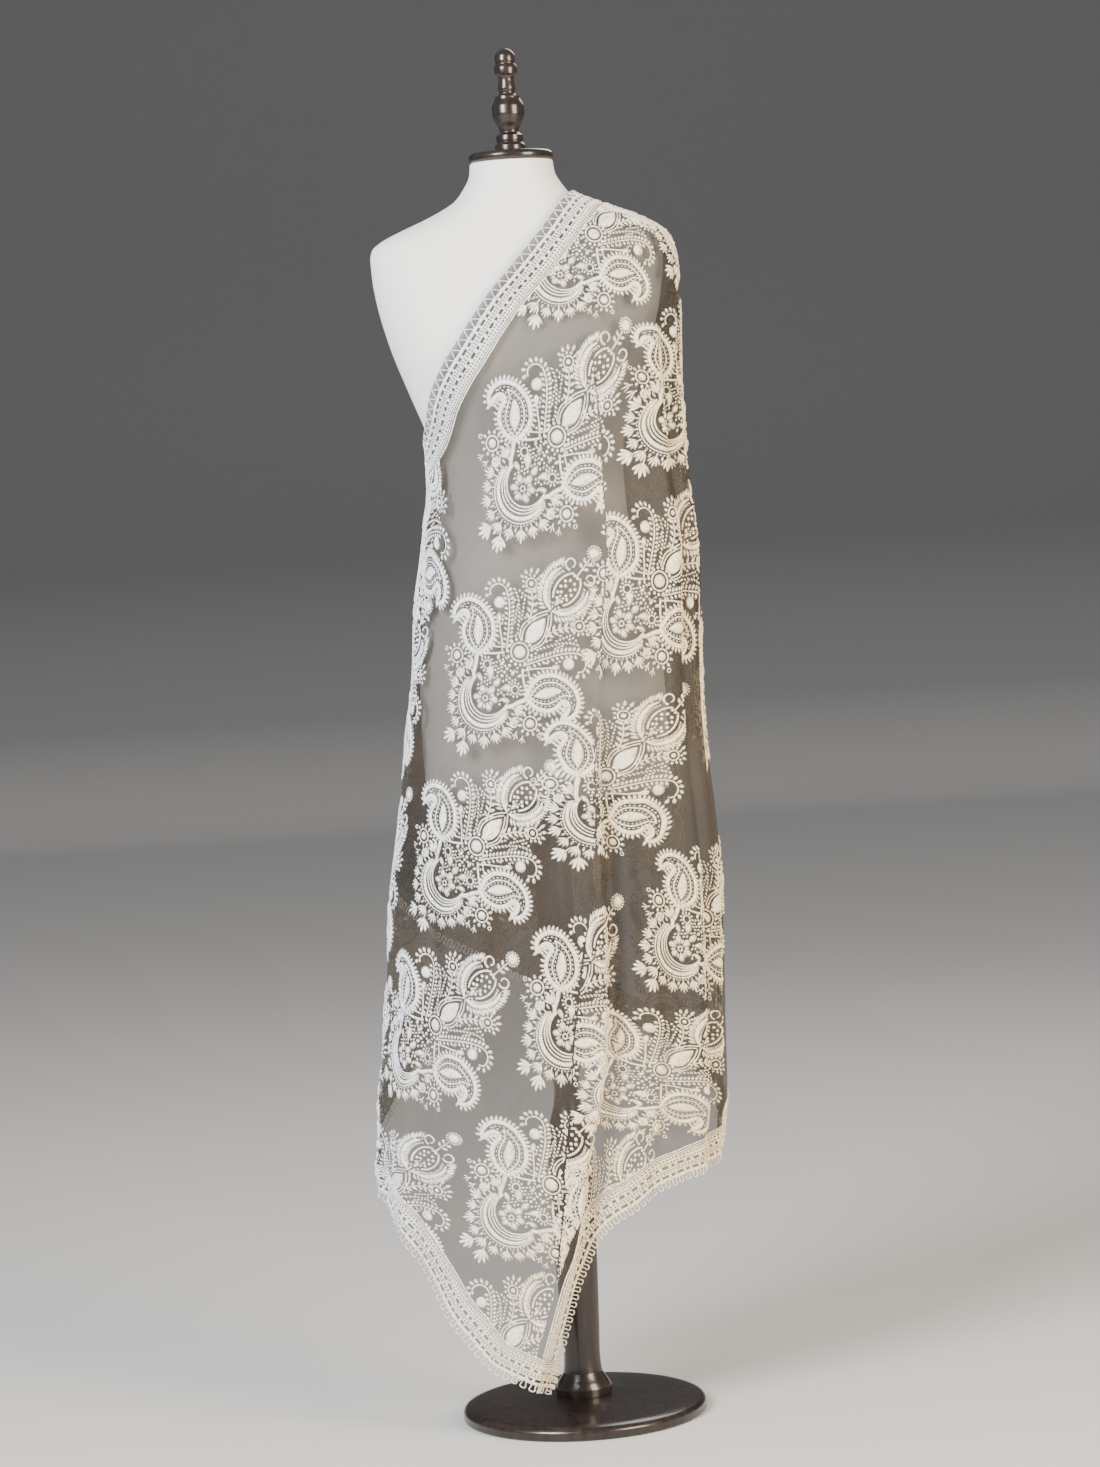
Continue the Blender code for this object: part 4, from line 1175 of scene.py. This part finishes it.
def jersey_material():
    m = Nodes("form_cover")
    where = m.add("ShaderNodeTexCoord").outputs["Object"]
    cloud = m.add("ShaderNodeTexNoise", Scale=5.0, Detail=4.0)
    m.link(where, cloud.inputs["Vector"])
    tone = m.ramp(cloud.outputs[0], ((0.3, (0.77, 0.765, 0.74)), (0.55, (0.80, 0.79, 0.76)),
                                     (0.75, (0.81, 0.78, 0.70))))
    m.link(tone, m.shader.inputs["Base Color"])
    knit = m.add("ShaderNodeTexNoise", Scale=420.0, Detail=2.0)
    m.link(where, knit.inputs["Vector"])
    dents = m.add("ShaderNodeTexNoise", Scale=16.0, Detail=2.0)
    m.link(where, dents.inputs["Vector"])
    height = m.add("ShaderNodeMath", operation="MULTIPLY_ADD")
    m.link(dents.outputs[0], height.inputs[0])
    height.inputs[1].default_value = 4.0
    m.link(knit.outputs[0], height.inputs[2])
    bump = m.add("ShaderNodeBump", Strength=0.25, Distance=0.0005)
    m.link(height.outputs[0], bump.inputs["Height"])
    m.link(bump.outputs[0], m.shader.inputs["Normal"])
    rough = m.add("ShaderNodeMapRange")
    m.link(knit.outputs[0], rough.inputs[0])
    rough.inputs[3].default_value = 0.58
    rough.inputs[4].default_value = 0.74
    m.link(rough.outputs[0], m.shader.inputs["Roughness"])
    m.set(Sheen_Weight=0.15, Specular_IOR_Level=0.35)
    return m.mat


def wood_material():
    m = Nodes("dark_wood")
    where = m.add("ShaderNodeTexCoord").outputs["Object"]
    turn = m.add("ShaderNodeMapping")
    turn.inputs["Scale"].default_value = (14.0, 14.0, 1.6)
    m.link(where, turn.inputs[0])
    grain = m.add("ShaderNodeTexNoise", Scale=7.0, Detail=6.0, Roughness=0.62, Distortion=0.8)
    m.link(turn.outputs[0], grain.inputs["Vector"])
    tone = m.ramp(grain.outputs[0], ((0.28, (0.006, 0.004, 0.0035)), (0.52, (0.014, 0.009, 0.007)),
                                     (0.75, (0.036, 0.018, 0.011))))
    m.link(tone, m.shader.inputs["Base Color"])
    rough = m.add("ShaderNodeMapRange")
    m.link(grain.outputs[0], rough.inputs[0])
    rough.inputs[3].default_value = 0.22
    rough.inputs[4].default_value = 0.36
    m.link(rough.outputs[0], m.shader.inputs["Roughness"])
    bump = m.add("ShaderNodeBump", Strength=0.12, Distance=0.0004)
    m.link(grain.outputs[0], bump.inputs["Height"])
    m.link(bump.outputs[0], m.shader.inputs["Normal"])
    m.set(Coat_Weight=0.4, Coat_Roughness=0.12, Specular_IOR_Level=0.4)
    return m.mat


THREAD = thread_material()
ORGANZA = organza_material()
JERSEY = jersey_material()
WOOD = wood_material()


def carried(obj, slot, *nodes):
    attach(obj, "root")
    if nodes:
        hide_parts(*nodes)
    return obj


# =====================================================================
# Camera, lights, floor
# =====================================================================
FRAME_HEIGHT = 1.790          # metres that the picture's long side takes in
DISTANCE = 4.8
AIM = Vector((0.006, 0.0, 0.840))
camera_data = bpy.data.cameras.new("camera")
camera = bpy.data.objects.new("camera", camera_data)
bpy.context.scene.collection.objects.link(camera)
camera.location = (0.006, -DISTANCE, 1.16)
look = AIM - camera.location
camera.rotation_mode = "QUATERNION"
camera.rotation_quaternion = (look.to_track_quat("-Z", "Y")
                              @ Quaternion((0, 0, 1), math.radians(-3.4)))
camera_data.sensor_width = 36.0
camera_data.lens = 36.0 * look.length / FRAME_HEIGHT
camera_data.clip_start = 0.05
camera_data.clip_end = 60
bpy.context.scene.camera = camera


def lamp(name, place, aim, width, height, power, colour):
    data = bpy.data.lights.new(name, "AREA")
    data.shape = "RECTANGLE"
    data.size, data.size_y = width, height
    data.energy = power
    data.color = colour
    obj = bpy.data.objects.new(name, data)
    obj.location = place
    obj.rotation_mode = "QUATERNION"
    obj.rotation_quaternion = (Vector(aim) - Vector(place)).to_track_quat("-Z", "Y")
    bpy.context.scene.collection.objects.link(obj)


lamp("key", (-2.3, -3.0, 2.7), (0, 0, 1.0), 1.6, 2.0, 410, (0.97, 0.985, 1.0))
lamp("fill", (2.6, -2.4, 1.7), (0, 0, 0.8), 1.6, 2.2, 270, (1.0, 0.84, 0.63))
lamp("back", (0.9, 2.4, 2.9), (0, 0, 1.2), 1.4, 1.4, 30, (1.0, 1.0, 1.0))
world = bpy.data.worlds.new("world")
bpy.context.scene.world = world
world.use_nodes = True
world.node_tree.nodes["Background"].inputs[0].default_value = (0.9, 0.92, 0.95, 1)
world.node_tree.nodes["Background"].inputs[1].default_value = 0.38

m = Nodes("studio")
where = m.add("ShaderNodeTexCoord").outputs["Object"]
fleck = m.add("ShaderNodeTexNoise", Scale=60.0, Detail=3.0)
m.link(where, fleck.inputs["Vector"])
height = m.add("ShaderNodeSeparateXYZ")
m.link(where, height.inputs[0])
# a pale floor all the way back, and a plain grey wall where it bends up
rise = m.add("ShaderNodeMath", operation="MULTIPLY_ADD")
m.link(fleck.outputs[0], rise.inputs[0])
rise.inputs[1].default_value = 0.04
m.link(height.outputs["Z"], rise.inputs[2])
m.link(m.ramp(rise.outputs[0], ((0.04, (0.58, 0.57, 0.56)), (0.35, (0.30, 0.30, 0.305)),
                                (0.90, (0.18, 0.183, 0.19)))),
       m.shader.inputs["Base Color"])
m.set(Roughness=0.9, Specular_IOR_Level=0.1)
# floor that curves up into the backdrop
WALL_Y, BEND = 10.0, 2.0
profile = [(y, 0.0) for y in np.linspace(-10, WALL_Y - BEND, 12)]
profile += [(WALL_Y - BEND + BEND * math.sin(a), BEND - BEND * math.cos(a))
            for a in np.linspace(0.1, math.pi / 2, 14)]
profile += [(WALL_Y, z) for z in np.linspace(BEND + .3, 9, 6)]
sweep_points = [(x, y, z - 0.0004) for x in (-14.0, 14.0) for y, z in profile]
k = len(profile)
sweep_tris = []
for i in range(k - 1):
    sweep_tris += [(i, k + i, k + i + 1), (i, k + i + 1, i + 1)]
sweep = make_mesh("backdrop", sweep_points, sweep_tris, m.mat, scale=1.0)

# =====================================================================
# Form and turned parts
# =====================================================================
def rings_mesh(name, rings, material, caps=True):
    rows, cols = rings.shape[:2]
    points = rings.reshape(-1, 3)
    i, j = np.meshgrid(np.arange(rows - 1), np.arange(cols), indexing="ij")
    a = (i * cols + j).ravel()
    b = (i * cols + (j + 1) % cols).ravel()
    c, d = b + cols, a + cols
    tris = np.concatenate((np.stack((a, b, c), 1), np.stack((a, c, d), 1)))
    if caps:
        low = points[:cols].mean(0)
        high = points[-cols:].mean(0)
        points = np.vstack((points, low, high))
        n = len(points)
        k = np.arange(cols)
        tris = np.concatenate((tris, np.stack(((k + 1) % cols, k, np.full(cols, n - 2)), 1),
                               np.stack((k + (rows - 1) * cols, (k + 1) % cols + (rows - 1) * cols,
                                         np.full(cols, n - 1)), 1)))
    if volume_sign(points, tris) < 0:
        tris = tris[:, ::-1]
    obj = make_mesh(name, points, tris, material)
    obj.data.set_sharp_from_angle(angle=math.radians(38))
    return obj


def smooth_torso():
    z = np.concatenate(([FORM_FOOT], np.linspace(FORM_FOOT + 1.5, 1420, 76), np.linspace(1423, 1531, 56),
                        [1532.6, 1533.6, 1534.0]))
    half = column(FORM, "z", "half")(z)
    front = column(FORM, "z", "front")(z)
    back = column(FORM, "z", "back")(z)
    trim = np.zeros_like(z)
    trim[0], trim[1] = 1.2, 0.2
    trim[-3:] = 0.25, 0.8, 2.0
    phi = np.arange(108) * 360 / 108
    x, y = oval(phi[None, :], squareness(z)[:, None])
    x = x * (half - trim)[:, None]
    y = y * np.where(y <= 0, (front - trim)[:, None], (back - trim)[:, None])
    return np.stack((x, y, np.broadcast_to(z[:, None], x.shape)), axis=-1)


carried(rings_mesh("form_shell", smooth_torso(), JERSEY), "form_cover", "form_torso")

TurnedRow = namedtuple("TurnedRow", "z r")
NECK_CAP = [TurnedRow(*row) for row in (
    (0, 46), (0.8, 49), (3, 51), (6, 51.4), (9, 50.4), (11, 47.5), (11.8, 44))]
FINIAL = [TurnedRow(*row) for row in (
    (0, 17), (2, 18.4), (7, 18.4), (9, 16.8), (11, 15.6), (14, 16.4), (19, 16.2),
    (21, 13), (23, 11.5), (28, 12.6), (36, 16.5), (46, 19.6), (54, 19.4), (60, 16.8),
    (63, 15.4), (66, 15), (67, 11), (70, 9.4), (76, 10.8), (80, 10.2), (86, 9.2),
    (91, 11), (93, 13.4), (99, 14), (103, 13), (105, 11.6), (109, 12.6), (115, 12),
    (120, 8.6), (123, 4))]
COLUMN = [TurnedRow(*row) for row in (
    (24.4, 34), (34, 35), (42, 30), (52, 24), (70, 22.5), (120, 24), (200, 26),
    (290, 27), (340, 26), (365, 22), (385, 16.5), (402, 15), (420, 17), (440, 22),
    (462, 26), (540, 25), (620, 23), (690, 22), (722, 24), (736, 31), (752, 34),
    (766.6, 35))]
BASE = [TurnedRow(*row) for row in (
    (0, 148), (2, 150), (9, 150), (14, 147), (17, 138), (19, 110), (21.5, 70), (24, 42))]


def turned(name, rows, base_z, count, segments):
    z_all = np.array([r.z for r in rows], float)
    r_of = column(rows, "z", "r")
    z = np.unique(np.concatenate((np.linspace(z_all[0], z_all[-1], count), z_all)))
    r = r_of(z)
    a = np.arange(segments) * 2 * math.pi / segments
    rings = np.stack((r[:, None] * np.cos(a), r[:, None] * np.sin(a),
                      np.broadcast_to(z[:, None] + base_z, (len(z), segments))), axis=-1)
    return rings_mesh(name, rings, WOOD)


carried(turned("neck_cap_turned", NECK_CAP, FORM_TOP + 0.3, 24, 96), "dark_wood", "neck_cap")
carried(turned("finial_turned", FINIAL, FORM_TOP + 12.4, 80, 48), "dark_wood", "finial")
carried(turned("column_turned", COLUMN, 0.0, 84, 48), "dark_wood", "stand_column")
carried(turned("base_turned", BASE, 0.0, 30, 128), "dark_wood", "stand_base")

# =====================================================================
# Organza
# =====================================================================
def spread(start, end, count, dense_at=None, dense_width=20.0, dense=0.0):
    fine = np.linspace(start, end, 2001)
    weight = np.ones_like(fine)
    if dense_at is not None:
        weight += dense * np.exp(-((fine - dense_at) / dense_width) ** 2)
    total = np.concatenate(([0], np.cumsum((weight[1:] + weight[:-1]) / 2)))
    return np.interp(np.linspace(0, total[-1], count + 1), total, fine)


def organza():
    wrap = np.linspace(PHI_WRAP_END, 0, 92)
    front = spread(0, 180, 200, 98, 22, 1.3)
    back = np.linspace(180, PHI_BACK_END, 120)
    phis = np.concatenate((wrap[:-1], front[:-1], back))
    phis[np.argmin(np.abs(phis - PHI_CORNER))] = PHI_CORNER
    top = np.interp(phis, EDGE_PHI, TOP_Z)
    top = top - np.minimum(1.0, 0.02 * (top - np.interp(phis, EDGE_PHI, FOOT_Z)))
    foot = inset_heights(phis, False, PICOT_REACH - 0.5, 0.12)
    t = np.linspace(0, 1, 180) ** 1.2
    z = top[None, :] + (foot - top)[None, :] * t[:, None]
    phi = np.broadcast_to(phis, z.shape)
    points = surface(phi, z)
    rows, cols = z.shape
    i, j = np.meshgrid(np.arange(rows - 1), np.arange(cols - 1), indexing="ij")
    a = (i * cols + j).ravel()
    quads = np.stack((a, a + cols, a + cols + 1, a + 1), 1)
    obj = make_mesh("organza_cloth", points.reshape(-1, 3), quads, ORGANZA)
    # flat coordinates for the weave, turned to the cloth's grain
    run = np.concatenate((np.zeros((rows, 1)),
                          np.cumsum(np.linalg.norm(np.diff(points, axis=1), axis=2), axis=1)), axis=1)
    middle = int(np.argmin(np.abs(phis - 90)))
    run -= run[:, middle:middle + 1]
    c, s = math.cos(math.radians(50)), math.sin(math.radians(50))
    flat = np.stack((run * c + z * s, -run * s + z * c), axis=-1).reshape(-1, 2) * MM
    layer = obj.data.uv_layers.new(name="weave")
    loops = np.empty(len(obj.data.loops), np.int32)
    obj.data.loops.foreach_get("vertex_index", loops)
    layer.data.foreach_set("uv", flat[loops].astype(np.float32).ravel())
    # 1 on the strip along the neck edge, 0 elsewhere
    depth = (z[:1] - z) * 0.62
    strip = np.clip((13.0 - depth) / 3.0, 0, 1).reshape(-1)
    hem = obj.data.uv_layers.new(name="hem")
    hem.data.foreach_set("uv", np.column_stack((strip, 0 * strip))[loops].astype(np.float32).ravel())
    return obj


cloth = carried(organza(), "organza", "dupatta_front", "dupatta_back", "dupatta_wrap")

# =====================================================================
# Bands and picots
# =====================================================================
REACH = 46


def edge_patch(phis, zs, inward_of):
    """Points and normals from an edge inwards: (along, in) each mm inwards."""
    phi, z, length = resample(phis, zs, 2.0)
    line = surface(phi, z)
    along = unit(np.gradient(line, axis=0))
    _, _, n = slopes(phi, z, False)
    inward = unit(np.cross(along, n)) * inward_of
    gp, gz, _ = walk(phi, z, inward, 1.0, REACH)
    points = surface(gp, gz)
    _, _, normal = slopes(gp, gz)
    return {"points": points.transpose(1, 0, 2), "normals": normal.transpose(1, 0, 2),
            "phi": gp.T, "z": gz.T, "length": length, "line": line}


top_patch = edge_patch(EDGE_PHI, TOP_Z, 1.0)
is_end = EDGE_PHI <= PHI_CORNER
end_patch = edge_patch(EDGE_PHI[is_end], FOOT_Z[is_end], -1.0)
side_patch = edge_patch(EDGE_PHI[~is_end], FOOT_Z[~is_end], -1.0)


def place(kit, patch, lift):
    """Flat stitches (along, in, height) laid on an edge."""
    flat, tris = kit.arrays()
    u, v = flat[:, 0] / 2.0, flat[:, 1]
    u = flat[:, 0] / patch["length"] * (patch["points"].shape[0] - 1)
    p = look_up(patch["points"], u, v)
    n = unit(look_up(patch["normals"], u, v))
    where = look_up(np.stack((patch["phi"], patch["z"]), axis=-1), u, v)
    return p + n * (flat[:, 2:3] + lift), tris, where


# Strips of the cutwork band: how far in each lies, its width, and its relief.
Strip = namedtuple("Strip", "middle width height flat rib")
STRIPS = [Strip(*row) for row in (
    (13.0, 4.0, .5, .7, .12), (19.0, 1.6, .7, .5, 0), (22.0, 1.2, .5, .5, 0),
    (25.0, 1.6, .7, .5, 0), (30.0, 1.6, .7, .5, 0), (33.9, 2.2, .5, .6, 0),
    (37.9, 1.6, .7, .5, 0), (40.4, 1.7, 1.0, .4, 0), (43.1, 1.9, 1.0, .4, 0))]
# Rows of slits between the strips, and the stretches where the strips join.
SLITS = ((16.6, 3.4, 3.2, 0.0), (27.5, 3.6, 4.2, 2.0))     # how far in, width, join, start
SLIT_PITCH = 10.0
# Leaf stitches over the strips: how far in each starts, its angle, length, width and pitch.
LeafRow = namedtuple("LeafRow", "start angle length width pitch")
LEAF_ROWS = [LeafRow(*row) for row in (
    (11.0, 64, 4.6, 2.5, 3.8), (18.4, 50, 5.2, 2.6, 4.1), (25.6, -50, 5.2, 2.6, 4.1),
    (29.4, 46, 6.4, 2.8, 4.3), (38.4, -46, 6.4, 2.8, 4.3))]


def band_kit(length):
    kit = Stitches()
    s = np.arange(0, length, 2.6)
    for strip in STRIPS:
        cord(kit, np.column_stack((s, np.full(len(s), strip.middle))), strip.width, strip.height,
             flat=strip.flat, rib=strip.rib)
    for middle, width, join, start in SLITS:
        for k in range(int(length / SLIT_PITCH)):
            # two slits near each other, then a longer stretch of cloth
            at = SLIT_PITCH * k + start + (1.6 if k % 2 else 0)
            if at + join < length:
                cord(kit, np.array([(at, middle), (at + join / 2, middle), (at + join, middle)]),
                     width, .7, flat=.7)
    for k in range(int(length / 4.3)):
        knot(kit, (4.3 * k, 33.9), 1.5, 1.2, 5, base=.5)
    for row in LEAF_ROWS:
        for k in range(int(length / row.pitch)):
            leaf(kit, (row.pitch * k, row.start), row.angle, row.length, row.width, 1.2, base=.4)
    return kit


def picot_kit(length, backed, period, deep):
    """Looped edging: a wavy thread from the band out to the very edge."""
    kit = Stitches()
    t = np.arange(0, length / period, 1 / 14)
    wave = np.cos(2 * math.pi * t)
    out = 11.6 - deep * (.5 + .5 * np.sign(wave) * np.abs(wave) ** (1.15 if backed else .75))
    # the loops are wide at the edge and close up where they meet the band
    lean = (0.0 if backed else .155 * period) * np.sin(4 * math.pi * t)
    cord(kit, np.column_stack((t * period + lean, out)), 1.5 if backed else 1.7, 1.2, base=-.3, flat=.3)
    if backed:
        s = np.arange(0, length, 4.0)
        cord(kit, np.column_stack((s, np.full(len(s), 1.0))), .9, .5, base=-.1)
    return kit


def trim_mesh(name, kit, patch, lift, keep, nodes):
    p, tris, where = place(kit, patch, lift)
    ok = keep(p, where)
    tris = tris[ok[tris].all(axis=1)]
    if volume_sign(p, tris) < 0:
        tris = tris[:, ::-1]
    p, tris = drop_unused(p, tris)
    return carried(make_mesh(name, p, tris, THREAD), "ivory_thread", *nodes)


def clear_of(line, reach):
    """True for points at least this far from an edge."""
    def test(p):
        away = np.full(len(p), 1e9)
        for start in range(0, len(line), 120):
            part = line[start:start + 120:2]
            away = np.minimum(away, np.linalg.norm(p[:, None] - part[None], axis=2).min(axis=1))
        return away >= reach
    return test


def on_cloth(where, slack):
    z_top = np.interp(where[:, 0], EDGE_PHI, TOP_Z)
    z_foot = np.interp(where[:, 0], EDGE_PHI, FOOT_Z)
    return ((where[:, 1] < z_top + slack) & (where[:, 1] > z_foot - slack)
            & (where[:, 0] > PHI_WRAP_END - 0.6) & (where[:, 0] < PHI_BACK_END + 0.6))


def keep_top(p, where):
    return on_cloth(where, 1.0)


def keep_end(p, where):
    return on_cloth(where, 1.5) & ((where[:, 0] > -90) | clear_of(top_patch["line"][:260], 44.5)(p))


def keep_side(p, where):
    return on_cloth(where, 1.5) & ((where[:, 0] > 130) | clear_of(end_patch["line"][-160:], 44.5)(p))


for label, patch, keep, backed, period, deep, nodes in (
        ("neck", top_patch, keep_top, True, 14.4, 9.4, ("neck_front", "neck_back", "neck_wrap")),
        ("end", end_patch, keep_end, False, 12.0, 8.8, ("end_front", "end_wrap")),
        ("side", side_patch, keep_side, False, 9.6, 8.4, ("side_front", "side_back"))):
    trim_mesh("lace_" + label, band_kit(patch["length"]), patch, 0.2, keep,
                            ["band_" + n for n in nodes])
    trim_mesh("loops_" + label, picot_kit(patch["length"], backed, period, deep), patch, 0.2,
                            lambda p, w: on_cloth(w, 60.0), ["picot_" + n for n in nodes])

# =====================================================================
# Embroidery
# =====================================================================
flat_points, flat_tris = cluster()
spots = all_spots()
grid_phi, grid_z, low_b = patches(spots)
band_top = np.stack((EDGE_PHI, inset_heights(EDGE_PHI, True, 42.0, .36)))
band_foot = np.stack((EDGE_PHI, inset_heights(EDGE_PHI, False, 42.0, .36)))
groups = {}
for number, spot in enumerate(spots):
    grid = np.stack((grid_phi[number], grid_z[number]), axis=-1)
    flat, shown = swallow(flat_points, spot, grid, low_b[number])
    points = surface(grid_phi[number], grid_z[number])
    _, _, normals = slopes(grid_phi[number], grid_z[number])
    u = (flat[:, 0] + int(HALF_A / STEP) * STEP) / STEP
    v = (flat[:, 1] - low_b[number]) / STEP
    p = look_up(points, u, v)
    n = unit(look_up(normals, u, v))
    where = look_up(grid, u, v)
    ok = (shown & (where[:, 1] < np.interp(where[:, 0], *band_top))
          & (where[:, 1] > np.interp(where[:, 0], *band_foot))
          & (where[:, 0] > PHI_WRAP_END) & (where[:, 0] < PHI_BACK_END))
    tris = flat_tris[ok[flat_tris].all(axis=1)]
    if not len(tris):
        continue
    p = p + n * (flat[:, 2:3] * 1.5 + 0.1)
    # nothing stretches over the hidden part of a fold
    long = np.max([np.linalg.norm(p[tris[:, k]] - p[tris[:, (k + 1) % 3]], axis=1)
                   for k in range(3)], axis=0)
    tris = tris[long < 16]
    p, tris = drop_unused(p, tris)
    side = "front" if 0 <= spot[0] <= 180 else "back" if spot[0] > 180 else "wrap"
    groups.setdefault(side, []).append((p, tris))

for side, parts in groups.items():
    packs, room = [[]], 190000
    for p, tris in parts:
        if room < len(tris):
            packs.append([])
            room = 190000
        packs[-1].append((p, tris))
        room -= len(tris)
    for number, pack in enumerate(packs):
        start, all_p, all_t = 0, [], []
        for p, tris in pack:
            all_p.append(p)
            all_t.append(tris + start)
            start += len(p)
        points, tris = np.concatenate(all_p), np.concatenate(all_t)
        if volume_sign(points, tris) < 0:
            tris = tris[:, ::-1]
        carried(make_mesh(f"embroidery_{side}_{number + 1}", points, tris, THREAD),
                              "ivory_thread")
